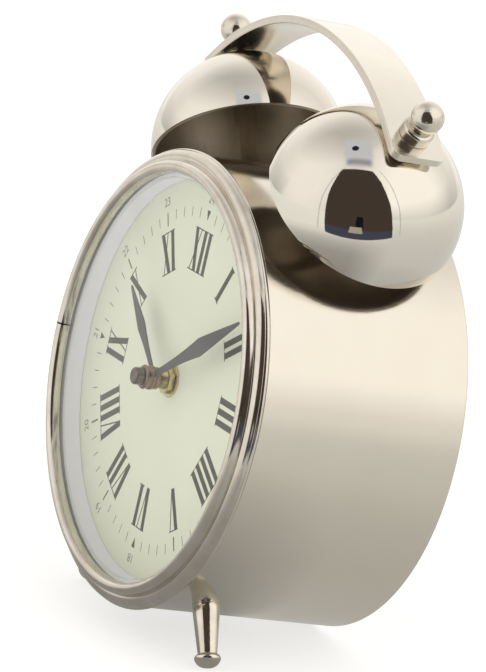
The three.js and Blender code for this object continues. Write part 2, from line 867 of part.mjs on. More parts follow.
// Hour wheel on the tube that carries the hour hand
function hourWheel() {
  const bore = arborRadius + seatGap;
  const wheel = plate(gearShape(hourWheelTeeth, hourModule, hourPhase), hourWheelFront, hourWheelBack);
  const pipe = bar(hourTubeRadius, seatGap - hourColletFront, hourWheelFront + wheelThickness / 2);
  return cut(joined(wheel, pipe), bar(bore, -hourColletFront - past, hourWheelBack + past));
}

// Arbor of the minute hand with its cannon pinion
function minuteArbor() {
  const front = minuteWheelFront - seatGap;
  const pinion = plate(gearShape(cannonTeeth, trainModule, cannonPhase), front, minuteWheelBack + seatGap);
  return joined(pinion, bar(arborRadius, -arborFront, backPlateFront - seatGap));
}

function minuteWheel() {
  const pinionFront = hourWheelFront - seatGap;
  const overlap = minuteWheelFront + wheelThickness / 2;
  const wheelShape = gearShape(minuteWheelTeeth, trainModule, minuteWheelPhase);
  const pinionShape = gearShape(minutePinionTeeth, hourModule, minutePinionPhase);
  return joined(
    plate(wheelShape, minuteWheelFront, minuteWheelBack),
    plate(pinionShape, pinionFront, overlap),
    bar(pivotRadius, movementFront + seatGap, backPlateFront - seatGap),
  );
}

function setShaft() {
  const front = minuteWheelFront - seatGap;
  const pinion = plate(gearShape(setPinionTeeth, trainModule, setPhase), front, minuteWheelBack + seatGap);
  return joined(pinion, bar(setShaftRadius, bayFloor + seatGap, movementBack + setKnobHeight));
}

function setKnob() {
  const rim = Array.from({ length: 2 * setKnobRibs }, (_, i) => {
    const radius = setKnobRadius - (i % 2) * setKnobRibDepth;
    const angle = (i * Math.PI) / setKnobRibs;
    return [radius * Math.cos(angle), radius * Math.sin(angle)];
  });
  const front = movementBack + fitGap;
  const body = plate(polygon(rim), front, front + setKnobHeight);
  return cut(body, bar(setShaftRadius + seatGap, front - past, movementBack + setKnobHeight + seatGap));
}

function battery() {
  const half = batteryLength / 2;
  const shoulder = half - batteryNubLength;
  const cell = turned(
    outline(
      [0, -half],
      [batteryRadius - batteryEdge, -half],
      [batteryRadius, batteryEdge - half],
      [batteryRadius, shoulder - batteryEdge],
      [batteryRadius - batteryEdge, shoulder],
      [batteryNubRadius, shoulder],
      [batteryNubRadius, half],
      [0, half],
    ),
    turnedSides,
  );
  return cell.rotateZ(-Math.PI / 2).translate(0, batteryDepth, batteryHeight);
}

// Contact leaf at one end of the battery bay, bowed towards the battery
function contact(side) {
  const wall = bayLength / 2 - seatGap;
  const face = wall - contactThickness;
  const half = contactWidth / 2;
  const bow = outline([face, -half], [face, half, face - batteryLength / 2 - seatGap]);
  const leaf = new THREE.Shape([new THREE.Vector2(wall, -half), ...bow, new THREE.Vector2(wall, half)]);
  const geometry = new THREE.ExtrudeGeometry(leaf, { depth: contactWidth, bevelEnabled: false });
  geometry.translate(0, 0, -half);
  if (side < 0) geometry.rotateZ(Math.PI);
  return geometry.translate(0, batteryDepth, batteryHeight);
}

function farthest(points, direction) {
  return Math.max(...points.map((point) => point.dot(direction)));
}

function pointsOf(geometry, place) {
  const position = geometry.getAttribute("position");
  return Array.from({ length: position.count }, (_, i) =>
    new THREE.Vector3().fromBufferAttribute(position, i).applyMatrix4(place),
  );
}

// Angle of lean at which the flats of the feet and the rear edge of the drum reach equally far down
function leanOf(footPoints, drumPoints) {
  let low = 0;
  let high = Math.PI / 4;
  for (let i = 0; i < 50; i++) {
    const lean = (low + high) / 2;
    const down = downAt(lean);
    if (farthest(footPoints, down) - footFlat > farthest(drumPoints, down)) low = lean;
    else high = lean;
  }
  return low;
}

function downAt(lean) {
  return new THREE.Vector3(0, Math.sin(lean), -Math.cos(lean));
}

const sides = ["left", "right"];
const bellPlaces = [-1, 1].map((side) => spoke(side * bellTilt, side * bellMouth.x, bellDepth, bellMouth.y));
const footPlaces = [-1, 1].map((side) => spoke(side * (Math.PI - footAngle), 0, footDepth, 0));
const drumBlank = bar(drumRadius + fitGap, drumFront, drumRear, drumSides);
const drumHollow = bar(drumInner - fitGap, drumFront, drumRear, drumSides);
const drumShell = drum();

// Lean of the clock, and the ground under it in the clock's own frame
const feet = footPlaces.map((place) => foot(drumBlank.clone().applyMatrix4(place.clone().invert())));
const footPoints = feet.flatMap((geometry, i) => pointsOf(geometry, footPlaces[i]));
const drumPoints = pointsOf(drumShell, new THREE.Matrix4());
const lean = leanOf(footPoints, drumPoints);
const standing = new THREE.Matrix4().makeRotationX(-lean);
standing.setPosition(0, 0, farthest(drumPoints, downAt(lean)));

// The end of a foot is ground flat where it stands
function standingFoot(geometry, place) {
  const size = 4 * drumRadius;
  const ground = new THREE.BoxGeometry(size, size, size).translate(0, 0, -size / 2);
  return cut(geometry, ground.applyMatrix4(standing.clone().multiply(place).invert()));
}

const clock = new THREE.Group();

function add(parent, name, geometry, material) {
  const mesh = new THREE.Mesh(geometry, material);
  mesh.name = name;
  parent.add(mesh);
  return mesh;
}

function groupAt(place) {
  const group = new THREE.Group();
  group.applyMatrix4(place);
  clock.add(group);
  return group;
}

add(clock, "case_drum", drumShell, nickel);
add(clock, "bezel", bezel(), nickel);
add(clock, "glass", glass(), clearGlass);
add(clock, "dial_ring", dialRing(), ringPaint);
add(clock, "dial", dial(), dialPaint);
add(clock, "back_cover", backCover(), nickel);
coverScrewPlaces.forEach(([x, z], i) => {
  add(clock, `cover_screw_${i + 1}`, coverScrew(), steel).position.set(x, 0, z);
});

const hubBore = bushRadius + fitGap;
add(clock, "dial_gasket", tube(hubBore, gasketRadius, dialThickness + seatGap, gasketBack), rubber);
add(clock, "dial_washer", tube(hubBore, washerRadius, -seatGap - washerThickness, -seatGap), brass);
const dialNut = hexNut(dialNutAcross, -hubNutBack - dialNutHeight, -hubNutBack, bushRadius + seatGap);
add(clock, "dial_nut", dialNut, brass);
add(clock, "centre_bush", centreBush(), brass);
add(clock, "movement_case", movementCase(), blackPlastic);
add(clock, "movement_cover", movementCover(), blackPlastic);
add(clock, "drive_unit", driveUnit(), whitePlastic);
add(clock, "circuit_board", circuitBoard(), greenBoard);
add(clock, "hour_wheel", hourWheel(), brass);
add(clock, "minute_arbor", minuteArbor(), brass);
add(clock, "minute_wheel", minuteWheel(), whitePlastic).position.set(minuteWheelX, 0, minuteWheelZ);
add(clock, "set_shaft", setShaft(), whitePlastic).position.set(setX, 0, setZ);
add(clock, "set_knob", setKnob(), whitePlastic).position.set(setX, 0, setZ);
add(clock, "battery", battery(), cellWrap);
add(clock, "contact_plus", contact(1), steel);
add(clock, "contact_minus", contact(-1), steel);
add(clock, "hour_hand", hourHand(), handPaint);
add(clock, "minute_hand", minuteHand(), handPaint);
add(clock, "hand_cap", handCap(), capMetal);

sides.forEach((side, i) => {
  const drumTool = drumBlank.clone().applyMatrix4(bellPlaces[i].clone().invert());
  const hollowTool = drumHollow.clone().applyMatrix4(bellPlaces[i].clone().invert());
  const bellGroup = groupAt(bellPlaces[i]);
  const nut = hexNut(studNutAcross, studNutBottom, studNutTop, studRadius + seatGap);
  add(bellGroup, `${side}_bell`, bellShell(), bellNickel);
  add(bellGroup, `${side}_bell_spacer`, bellSpacer(drumTool), nickel);
  add(bellGroup, `${side}_bell_stud`, bar(studRadius, studNutBottom - studTail, studTop), steel);
  add(bellGroup, `${side}_stud_saddle`, saddle(hollowTool), steel);
  add(bellGroup, `${side}_stud_nut`, nut, steel);
  add(bellGroup, `${side}_bell_pad`, tube(studRadius + fitGap, padRadius, padBottom, padBottom + padThickness), nickel);
  add(bellGroup, `${side}_finial`, finial(), nickel);
});
add(clock, "handle_strap", strap(), nickel);

sides.forEach((side, i) => {
  const footGroup = groupAt(footPlaces[i]);
  add(footGroup, `${side}_foot`, standingFoot(feet[i], footPlaces[i]), nickel);
  add(footGroup, `${side}_foot_screw`, footScrew(), steel);
});

// The origin lies on the ground under the middle of the clock
clock.applyMatrix4(standing);
const part = new THREE.Group();
part.add(clock);
part.updateMatrixWorld(true);
const middle = new THREE.Box3().setFromObject(clock, true).getCenter(new THREE.Vector3());
clock.position.x -= middle.x;
clock.position.y -= middle.y;

export default part;
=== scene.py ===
# Twin-bell table clock: smooth surfaces, finishes, dial print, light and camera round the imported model.
# Sizes are millimetres in the clock's own frame, as in the CAD source: X to the right of the dial,
# Y towards the back along the axis of the drum, Z up, and the face of the dial at y = 0.
import json
import math
import bmesh
import bpy
from mathutils import Matrix, Vector


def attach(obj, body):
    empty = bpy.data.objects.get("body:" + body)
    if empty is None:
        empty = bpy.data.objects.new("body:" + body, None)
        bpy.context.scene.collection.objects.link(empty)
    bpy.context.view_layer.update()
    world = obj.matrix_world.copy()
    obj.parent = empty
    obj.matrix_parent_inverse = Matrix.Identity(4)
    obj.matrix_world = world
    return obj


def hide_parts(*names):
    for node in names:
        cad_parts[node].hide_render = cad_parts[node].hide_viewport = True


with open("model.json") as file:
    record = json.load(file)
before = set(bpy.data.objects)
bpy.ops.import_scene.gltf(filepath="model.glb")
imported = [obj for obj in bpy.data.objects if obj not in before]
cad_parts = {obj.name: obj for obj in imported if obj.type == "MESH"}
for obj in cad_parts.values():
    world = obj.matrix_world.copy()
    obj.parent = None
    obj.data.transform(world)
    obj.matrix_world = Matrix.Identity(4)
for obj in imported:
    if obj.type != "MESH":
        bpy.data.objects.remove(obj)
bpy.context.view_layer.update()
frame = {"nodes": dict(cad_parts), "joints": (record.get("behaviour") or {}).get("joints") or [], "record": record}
scene = bpy.context.scene

# The clock's own frame, taken from the axis of its hands
hands_joint = next(j for j in frame["joints"] if j["name"] == "minute_hand_turn")
axis_y = Vector(hands_joint["axis"]).normalized()
axis_x = Vector((1, 0, 0))
axis_z = axis_x.cross(axis_y)
clock_frame = Matrix((axis_x, axis_y, axis_z)).transposed().to_4x4()
clock_frame.translation = Vector(hands_joint["pos_m"])
millimetre = 0.001
clock_mm = clock_frame @ Matrix.Scale(millimetre, 4)

# Bulge of a quarter of a circle, as a share of its radius
quarter_bulge = 0.29

# Clearances and small roundings
seat_gap = 0.15
fit_gap = 0.3
run_gap = 0.4
edge_round = 0.35
fine_edge = 0.15

# Sides of the smooth pieces, and parts of an arc
wide_sides = 288
bell_sides = 192
turned_sides = 96
small_sides = 48
arc_parts = 10

# Drum and back cover
drum_radius = 97
drum_wall = 1.2
drum_front = -5.5
drum_rear = 89
drum_edge_round = 0.97
flange_thickness = 1.2
dial_flange_width = 8
rear_flange_width = 9
rear_recess = 1.6
cover_thickness = 1
cover_bead_rise = 1.4
cover_bead_width = 9
cover_bead_inset = 9
access_radius = 55
access_hem = 3
cover_screw_count = 4
screw_head_radius = 2.6
screw_head_height = 1.6
screw_slot_width = 0.6
screw_slot_reach = 0.62
screw_slot_floor = 0.35
screw_slot_edge = 0.2
screw_dome = 0.8

# Bezel, glass, ring and dial
bezel_overhang = 1.5
bezel_shadow_gap = 0.8
rear_bead_depth = 2.1
rear_bead_inset = 0.7
rear_bead_rise = 0.48
step_inset = 0.3
small_step_depth = 0.9
middle_bead_width = 4.5
middle_bead_slope = 1.4
middle_bead_rise = 0.8
large_step_depth = 1.3
main_bead_width = 5
main_bead_rise = 2.55
lip_depth = 2.7
skirt_wall = 1.2
glass_thickness = 1.6
glass_clearance = 2
glass_edge_clearance = 1
ring_set_back = 0.5
ring_taper = 2.2
dial_thickness = 0.8

# Bells, posts and finials
bell_angle = math.radians(29.85)
bell_tilt = math.radians(38.65)
bell_lift = 12.9
bell_depth = 40.3
bell_radius = 42.7
bell_height = 42
bell_wall = 1.1
bell_lip = 0.7
bell_seat_radius = 6.5
spacer_radius = 5
stud_radius = 2.5
pad_radius = 6
pad_thickness = 1
finial_collar_radius = 7
finial_collar_height = 5.4
finial_shoulder = 1.2
finial_neck_radius = 4.2
finial_neck_height = 0.6
finial_ball_radius = 6.98

# Strap handle
strap_width = 25
strap_thickness = 3.6
strap_edge = 0.7
strap_tab = 12
strap_corner = 4

# Feet
foot_angle = math.radians(31)
foot_depth = 14
foot_top_radius = 5.9
foot_shoulder = 1.5
foot_neck_radius = 4.1
foot_cone_length = 21.2
foot_bead_radius = 5.5
foot_bead_height = 5.8
foot_bead_share = 0.45
foot_bead_bulge = 0.7
foot_end_bulge = 1.1

# Hub, counted forwards from the dial
washer_radius = 7.4
washer_thickness = 0.7
dial_nut_across = 10.6
dial_nut_height = 2.4
bush_radius = 4
bush_proud = 6.6
bush_flange_radius = 7
bush_flange_thickness = 1
gasket_thickness = 1
movement_wall = 1.2
nut_front_chamfer = 0.45
nut_front_corner = 0.94
nut_back_chamfer = 0.25
nut_back_corner = 0.96
thread_pitch = 0.75
thread_depth = 0.35
hour_tube_radius = 2.5
hour_collet_radius = 4.8
hour_collet_length = 2
arbor_radius = 1.6
minute_collet_radius = 5.2
minute_collet_length = 4.6
minute_blade_set_back = 0.5
collet_chamfer = 0.8
collet_front_band = 0.7
collet_back_band = 1.2
collet_slope = 0.4
collet_groove = 0.6
hand_thickness = 0.5
cap_radius = 3.7
cap_height = 3.9
cap_round = 1

# Hands
hour_reach = 50.5
hour_width = 6.4
hour_root_width = 2.8
minute_tip_gap = 6.2
minute_width = 8.2
minute_root_width = 3
hand_tip_width = 1.3
blade_widest_share = 0.56
blade_root_share = 0.6
blade_taper_width = 0.7
blade_taper_share = 1.3
blade_bevel = 0.12
hour_turn = math.radians(30 * (10 + 15 / 60))
minute_turn = math.radians(6 * 9.7)

# Print on the dial: radii of its rings, and the strokes of its numerals
numeral_low = 47.5
numeral_high = 66
numeral_stem = 2.7
numeral_hair = 0.6
numeral_serif = 0.5
numeral_gap = 4.6
numeral_v_width = 8
numeral_x_width = 8
numeral_edge = 0.5
numeral_v_edge = 1
numeral_v_foot = 0.55
numeral_v_spread = 0.15
numeral_serif_space = 0.4
tick_low = 70.3
tick_high = 74.6
tick_width = 0.32
hour_tick_width = 0.75
hour_tick_low = 68.6
marker_half_width = 1.5
count_radius = 79.4
count_size = 5.4
print_rise = 0.05

# Sizes worked out from those above
drum_inner = drum_radius - drum_wall
dial_flange_front = dial_thickness + seat_gap
cover_back = drum_rear - rear_recess - cover_bead_rise
cover_front = cover_back - cover_thickness
rear_flange_back = cover_front - seat_gap
cover_radius = drum_inner - fit_gap
cover_screw_circle = drum_inner - rear_flange_width / 2
hub_nut_back = washer_thickness + 2 * seat_gap
hour_collet_back = bush_proud + run_gap
hour_collet_front = hour_collet_back + hour_collet_length
minute_collet_back = hour_collet_front + run_gap
minute_collet_front = minute_collet_back + minute_collet_length
cap_back = minute_collet_front + seat_gap
cap_front = cap_back + cap_height
minute_blade_front = minute_collet_back + minute_blade_set_back + hand_thickness
hour_blade_front = (hour_collet_back + hour_collet_front + hand_thickness) / 2
bezel_radius = drum_radius + bezel_overhang
bezel_back = drum_front - bezel_shadow_gap
rear_bead_front = bezel_back - rear_bead_depth
rear_bead_inner = bezel_radius - rear_bead_inset
middle_bead_back = rear_bead_front - small_step_depth
middle_bead_front = middle_bead_back - middle_bead_slope
middle_bead_outer = rear_bead_inner - step_inset
middle_bead_inner = middle_bead_outer - middle_bead_width
lip_front = middle_bead_front - large_step_depth
lip_back = lip_front + lip_depth
main_bead_outer = middle_bead_inner - step_inset
opening_radius = main_bead_outer - main_bead_width
skirt_outer = drum_inner - fit_gap
skirt_inner = skirt_outer - skirt_wall
glass_front = lip_back + seat_gap
glass_back = glass_front + glass_thickness
glass_radius = skirt_inner - fit_gap
glass_window = opening_radius - fit_gap
glass_inside = glass_window - glass_thickness
glass_centre = cap_front + glass_clearance
glass_rise = glass_centre - minute_blade_front - glass_edge_clearance
glass_sphere = (glass_inside ** 2 + glass_rise ** 2) / (2 * glass_rise)
minute_reach = glass_inside - minute_tip_gap
bell_axis = Vector((math.sin(bell_tilt), math.cos(bell_tilt)))
bell_mouth = Vector((math.sin(bell_angle), math.cos(bell_angle))) * (drum_radius + bell_lift)
pad_bottom = bell_height + seat_gap
strap_bottom = pad_bottom + pad_thickness + fit_gap
strap_top = strap_bottom + strap_thickness
finial_bottom = strap_top + seat_gap
strap_seat = bell_axis * strap_top + bell_mouth
strap_radius = strap_seat.x / math.sin(bell_tilt)
strap_centre = strap_seat.y - strap_radius * math.cos(bell_tilt)


# Node trees

class Tree:
    """A material's or world's node tree, with short ways to add the nodes used here."""

    def __init__(self, owner):
        owner.use_nodes = True
        self.nodes = owner.node_tree.nodes
        self.links = owner.node_tree.links

    def add(self, kind, **settings):
        node = self.nodes.new(kind)
        for key, value in settings.items():
            setattr(node, key, value)
        return node

    def feed(self, socket, value):
        if isinstance(value, bpy.types.NodeSocket):
            self.links.new(value, socket)
        else:
            socket.default_value = value

    def math(self, operation, *values):
        node = self.add("ShaderNodeMath", operation=operation)
        for socket, value in zip(node.inputs, values):
            self.feed(socket, value)
        return node.outputs[0]

    def noise(self, vector, scale, detail=3.0, roughness=0.55):
        node = self.add("ShaderNodeTexNoise")
        self.feed(node.inputs["Vector"], vector)
        for name, value in (("Scale", scale), ("Detail", detail), ("Roughness", roughness)):
            node.inputs[name].default_value = value
        return node.outputs["Fac"]

    def spread(self, value, low, high, to_low, to_high):
        node = self.add("ShaderNodeMapRange")
        for name, given in zip(("Value", "From Min", "From Max", "To Min", "To Max"),
                               (value, low, high, to_low, to_high)):
            self.feed(node.inputs[name], given)
        return node.outputs["Result"]

    def ramp(self, value, *stops):
        node = self.add("ShaderNodeValToRGB")
        elements = node.color_ramp.elements
        while len(elements) < len(stops):
            elements.new(1)
        for element, (place, colour) in zip(elements, stops):
            element.position = place
            element.color = (*colour, 1)
        self.feed(node.inputs["Fac"], value)
        return node.outputs["Color"]

    def bump(self, height, strength, distance):
        node = self.add("ShaderNodeBump")
        node.inputs["Strength"].default_value = strength
        node.inputs["Distance"].default_value = distance
        self.feed(node.inputs["Height"], height)
        return node.outputs["Normal"]

    def stretched(self, vector, scale):
        node = self.add("ShaderNodeMapping")
        node.inputs["Scale"].default_value = scale
        self.feed(node.inputs["Vector"], vector)
        return node.outputs["Vector"]

    def place(self):
        return self.add("ShaderNodeTexCoord").outputs["Object"]

    def round_the_drum(self):
        """The surface's place as radius, distance along the drum's axis and angle round it."""
        to_clock = clock_frame.inverted()
        shift = self.add("ShaderNodeMapping")
        shift.inputs["Location"].default_value = to_clock.translation
        shift.inputs["Rotation"].default_value = to_clock.to_euler()
        self.feed(shift.inputs["Vector"], self.place())
        parts = self.add("ShaderNodeSeparateXYZ")
        self.feed(parts.inputs[0], shift.outputs["Vector"])
        x, y, z = parts.outputs
        squares = [self.math("MULTIPLY", value, value) for value in (x, z)]
        radius = self.math("SQRT", self.math("ADD", *squares))
        angle = self.math("ARCTAN2", x, z)
        joined = self.add("ShaderNodeCombineXYZ")
        for socket, value in zip(joined.inputs, (radius, y, angle)):
            self.feed(socket, value)
        return joined.outputs[0]


def linked(name, data):
    """A new object of the scene."""
    result = bpy.data.objects.new(name, data)
    scene.collection.objects.link(result)
    return result


def principled(name, **settings):
    material = bpy.data.materials.new(name)
    tree = Tree(material)
    shader = tree.nodes["Principled BSDF"]
    for key, value in settings.items():
        shader.inputs[key.replace("_", " ").title().replace("Ior", "IOR")].default_value = value
    return material, tree, shader


def nickel(name, light, dark, gloss, mottle=14.0, scratch=0.05, brush=None):
    """Plated metal: a faint cloudiness in its colour, uneven gloss, and fine marks from polishing."""
    material, tree, shader = principled(name, metallic=1.0)
    place = tree.place()
    clouds = tree.noise(place, mottle, 4.0, 0.6)
    specks = tree.noise(place, 900.0, 2.0, 0.5)
    mixed = tree.math("ADD", tree.math("MULTIPLY", clouds, 0.85), tree.math("MULTIPLY", specks, 0.15))
    tree.feed(shader.inputs["Base Color"], tree.ramp(mixed, (0.3, dark), (0.62, light)))
    marks_place = tree.round_the_drum() if brush else place
    marks = tree.noise(tree.stretched(marks_place, brush or (260, 900, 420)), 1.0, 3.0, 0.65)
    smudges = tree.noise(place, 38.0, 3.0, 0.6)
    gloss_share = tree.math("ADD", tree.math("MULTIPLY", marks, 0.6), tree.math("MULTIPLY", smudges, 0.4))
    tree.feed(shader.inputs["Roughness"], tree.spread(gloss_share, 0.3, 0.7, *gloss))
    tree.feed(shader.inputs["Normal"], tree.bump(marks, scratch, 0.0002))
    return material


def mark_joint(material, angle, half_width):
    """A dark joint across a ring of plated metal, at an angle from the top of the dial."""
    tree = Tree(material)
    colour = tree.nodes["Principled BSDF"].inputs["Base Color"]
    plain = colour.links[0].from_socket
    parts = tree.add("ShaderNodeSeparateXYZ")
    tree.feed(parts.inputs[0], tree.round_the_drum())
    aside = tree.math("ABSOLUTE", tree.math("SUBTRACT", parts.outputs["Z"], angle))
    mix = tree.add("ShaderNodeMix", data_type="RGBA", blend_type="MULTIPLY")
    mix.inputs[0].default_value = 1
    tree.feed(mix.inputs[6], plain)
    tree.feed(mix.inputs[7], tree.spread(aside, half_width / 2, half_width, 0.06, 1.0))
    tree.feed(colour, mix.outputs[2])


def painted(name, light, dark, gloss, bump=0.08):
    """Paint or moulded plastic with a slight unevenness of colour, gloss and surface."""
    material, tree, shader = principled(name)
    place = tree.place()
    clouds = tree.noise(place, 30.0, 5.0, 0.6)
    tree.feed(shader.inputs["Base Color"], tree.ramp(clouds, (0.3, dark), (0.7, light)))
    fine = tree.noise(place, 700.0, 3.0, 0.6)
    tree.feed(shader.inputs["Roughness"], tree.spread(fine, 0.3, 0.7, *gloss))
    tree.feed(shader.inputs["Normal"], tree.bump(fine, bump, 0.0001))
    return material


def clear_glass():
    """Thin clear glass: it shows what is behind it, with a sheen that grows towards its edge."""
    material = bpy.data.materials.new("clear_glass")
    tree = Tree(material)
    tree.nodes.remove(tree.nodes["Principled BSDF"])
    window = tree.add("ShaderNodeBsdfTransparent")
    window.inputs["Color"].default_value = (0.985, 0.99, 0.985, 1)
    sheen = tree.add("ShaderNodeBsdfGlossy")
    sheen.inputs["Roughness"].default_value = 0.03
    facing = tree.add("ShaderNodeLayerWeight").outputs["Facing"]
    grazing = tree.math("POWER", facing, 5.0)
    dust = tree.noise(tree.place(), 60.0, 3.0, 0.6)
    share = tree.math("MULTIPLY_ADD", grazing, 0.8, tree.spread(dust, 0.3, 0.7, 0.012, 0.022))
    mix = tree.add("ShaderNodeMixShader")
    tree.feed(mix.inputs[0], share)
    tree.feed(mix.inputs[1], window.outputs[0])
    tree.feed(mix.inputs[2], sheen.outputs[0])
    tree.feed(tree.nodes["Material Output"].inputs["Surface"], mix.outputs[0])
    return material


# Plated metals: light and dark colour, lowest and highest roughness, scale of the clouds,
# depth of the marks, and how closely they lie across, along and round the drum
plated = {
    "drum": ((0.785, 0.735, 0.65), (0.755, 0.70, 0.61), (0.09, 0.18), 14.0, 0.05, (300, 60, 240)),
    "bezel": ((0.76, 0.71, 0.64), (0.66, 0.60, 0.52), (0.07, 0.16), 90.0, 0.03),
    "bell": ((0.79, 0.75, 0.68), (0.76, 0.71, 0.63), (0.02, 0.06), 14.0, 0.015),
    "bell_inside": ((0.36, 0.305, 0.245), (0.29, 0.24, 0.19), (0.34, 0.5), 45.0),
    "strap": ((0.89, 0.845, 0.765), (0.85, 0.80, 0.71), (0.10, 0.22), 40.0),
    # The strap's two sides: the strap's plating painted darker, painted shade
    "strap_side": ((0.77, 0.71, 0.63), (0.71, 0.65, 0.57), (0.2, 0.35), 40.0),
    "turned": ((0.78, 0.73, 0.64), (0.66, 0.60, 0.50), (0.06, 0.18), 90.0),
    "steel": ((0.60, 0.59, 0.57), (0.48, 0.47, 0.45), (0.25, 0.45), 60.0),
    "brass": ((0.72, 0.62, 0.36), (0.58, 0.48, 0.26), (0.18, 0.38), 120.0),
    "cap": ((0.22, 0.18, 0.16), (0.13, 0.105, 0.095), (0.2, 0.4), 200.0),
    "collet": ((0.36, 0.28, 0.22), (0.22, 0.16, 0.12), (0.2, 0.4), 200.0),
}
# Paints and plastics: light and dark colour, lowest and highest roughness, depth of the grain
paints = {
    "hand": ((0.125, 0.118, 0.122), (0.10, 0.094, 0.098), (0.4, 0.55)),
    "dial": ((0.83, 0.845, 0.70), (0.805, 0.82, 0.68), (0.5, 0.62), 0.03),
    "ink": ((0.125, 0.127, 0.108), (0.10, 0.10, 0.088), (0.55, 0.7), 0.02),
    "grey_ink": ((0.3, 0.3, 0.27), (0.24, 0.24, 0.22), (0.55, 0.7), 0.02),
    "ring": ((0.90, 0.885, 0.95), (0.87, 0.86, 0.93), (0.4, 0.55), 0.05),
    "black": ((0.022, 0.022, 0.024), (0.014, 0.014, 0.015), (0.4, 0.6), 0.2),
    "white": ((0.78, 0.77, 0.73), (0.72, 0.71, 0.67), (0.35, 0.5), 0.1),
    "board": ((0.03, 0.13, 0.055), (0.02, 0.09, 0.04), (0.35, 0.5), 0.1),
    "rubber": ((0.025, 0.025, 0.025), (0.015, 0.015, 0.015), (0.75, 0.95), 0.2),
    "cell": ((0.06, 0.13, 0.23), (0.05, 0.11, 0.2), (0.22, 0.35), 0.03),
}
finishes = {name: nickel(name, *row) for name, row in plated.items()}
finishes.update((name, painted(name, *row)) for name, row in paints.items())
finishes["glass"] = clear_glass()
bezel_joint_angle = -math.pi / 2
bezel_joint_half_width = 0.006
mark_joint(finishes["bezel"], bezel_joint_angle, bezel_joint_half_width)
slot_finishes = {
    "polished_nickel": "turned", "bell_nickel": "bell", "steel": "steel", "brass": "brass",
    "hand_paint": "hand", "cap_metal": "cap", "dial_paint": "dial", "ring_paint": "ring",
    "clear_glass": "glass", "black_plastic": "black", "white_plastic": "white",
    "green_board": "board", "rubber": "rubber", "cell_wrap": "cell",
}
node_slots = {row["node"]: row["material_slot"] for row in frame["record"]["subparts"]}
for node_name, node in frame["nodes"].items():
    node.data.materials.clear()
    node.data.materials.append(finishes[slot_finishes[node_slots[node_name]]])


# Shapes

def arc_between(start, end, bulge, parts):
    """Points between two ends of an arc that bulges to the left of its chord."""
    along = end - start
    half = along.length / 2
    along.normalize()
    left = Vector((-along.y, along.x)) * math.copysign(1, bulge)
    rise = abs(bulge)
    radius = (half ** 2 + rise ** 2) / (2 * rise)
    centre = (start + end) / 2 + left * (rise - radius)
    half_angle = 2 * math.atan2(rise, half)
    angles = [half_angle * (2 * (i + 1) / parts - 1) for i in range(parts - 1)]
    return [centre + left * radius * math.cos(a) + along * radius * math.sin(a) for a in angles]


def curve(start, control, end, steps):
    """Points of a curve that leaves and arrives along the lines to its control point."""
    shares = [i / steps for i in range(steps + 1)]
    return [start * (1 - t) ** 2 + control * 2 * t * (1 - t) + end * t ** 2 for t in shares]


def outline(start, *steps):
    """Points of an outline: a step is a corner, or the end of an arc where a third number gives its bulge."""
    points = [Vector(start)]
    for x, y, *bulge in steps:
        end = Vector((x, y))
        if bulge:
            points += arc_between(points[-1], end, bulge[0], arc_parts)
        points.append(end)
    return points


def rounded(corner, before, after, reach):
    """Points in place of a corner, between places at a reach along its two sides."""
    return curve(corner + before.normalized() * reach, corner, corner + after.normalized() * reach, 4)


def softened(points, radius, closed):
    """An outline with each corner sharper than 30 degrees rounded off."""
    count = len(points)
    result = []
    for i, point in enumerate(points):
        if not closed and i in (0, count - 1):
            result.append(point)
            continue
        before, after = points[i - 1] - point, points[(i + 1) % count] - point
        reach = min(radius, 0.4 * before.length, 0.4 * after.length)
        turn = math.pi - before.angle(after)
        if turn < math.radians(30) or reach <= 0:
            result.append(point)
            continue
        result += rounded(point, before, after, reach)
    return result


def ring_points(sides, radius, y):
    if radius < 1e-6:
        return [(0, y, 0)]
    angles = [2 * math.pi * i / sides for i in range(sides)]
    return [(radius * math.sin(a), y, radius * math.cos(a)) for a in angles]


def lathe(points, sides=turned_sides, soften=edge_round):
    """A section turned round the Y axis, in radius and y: it ends on the axis, or closes on itself."""
    on_axis = points[0].x < 1e-6 and points[-1].x < 1e-6
    section = softened(points, soften, not on_axis) if soften else points
    shape = bmesh.new()
    rings = [[shape.verts.new(p) for p in ring_points(sides, r, y)] for r, y in section]
    followers = rings[1:] if on_axis else rings[1:] + rings[:1]
    for low, high in zip(rings, followers):
        for i in range(sides):
            j = i + 1
            corners = [low[i % len(low)], low[j % len(low)], high[j % len(high)], high[i % len(high)]]
            corners = list(dict.fromkeys(corners))
            if len(corners) > 2:
                shape.faces.new(corners)
    bmesh.ops.recalc_face_normals(shape, faces=shape.faces)
    return shape


def tube(inner, outer, low, high, sides=turned_sides, soften=fine_edge):
    return lathe(outline((inner, low), (outer, low), (outer, high), (inner, high)), sides, soften)


def prism(points, low, high, shape=None):
    """A flat outline in X and Z with thickness from y = low to y = high."""
    shape = shape or bmesh.new()
    ends = [[shape.verts.new((x, y, z)) for x, z in points] for y in (low, high)]
    shape.faces.new(ends[0])
    shape.faces.new(reversed(ends[1]))
    count = len(points)
    for i in range(count):
        j = (i + 1) % count
        shape.faces.new((ends[0][j], ends[0][i], ends[1][i], ends[1][j]))
    bmesh.ops.recalc_face_normals(shape, faces=shape.faces)
    return shape


def spoke(angle, x, y, z):
    """A place whose own Y axis points outwards at an angle from the top of the dial."""
    turn = Matrix.Rotation(angle, 4, "Y") @ Matrix.Rotation(math.pi / 2, 4, "X")
    return Matrix.Translation((x, y, z)) @ turn


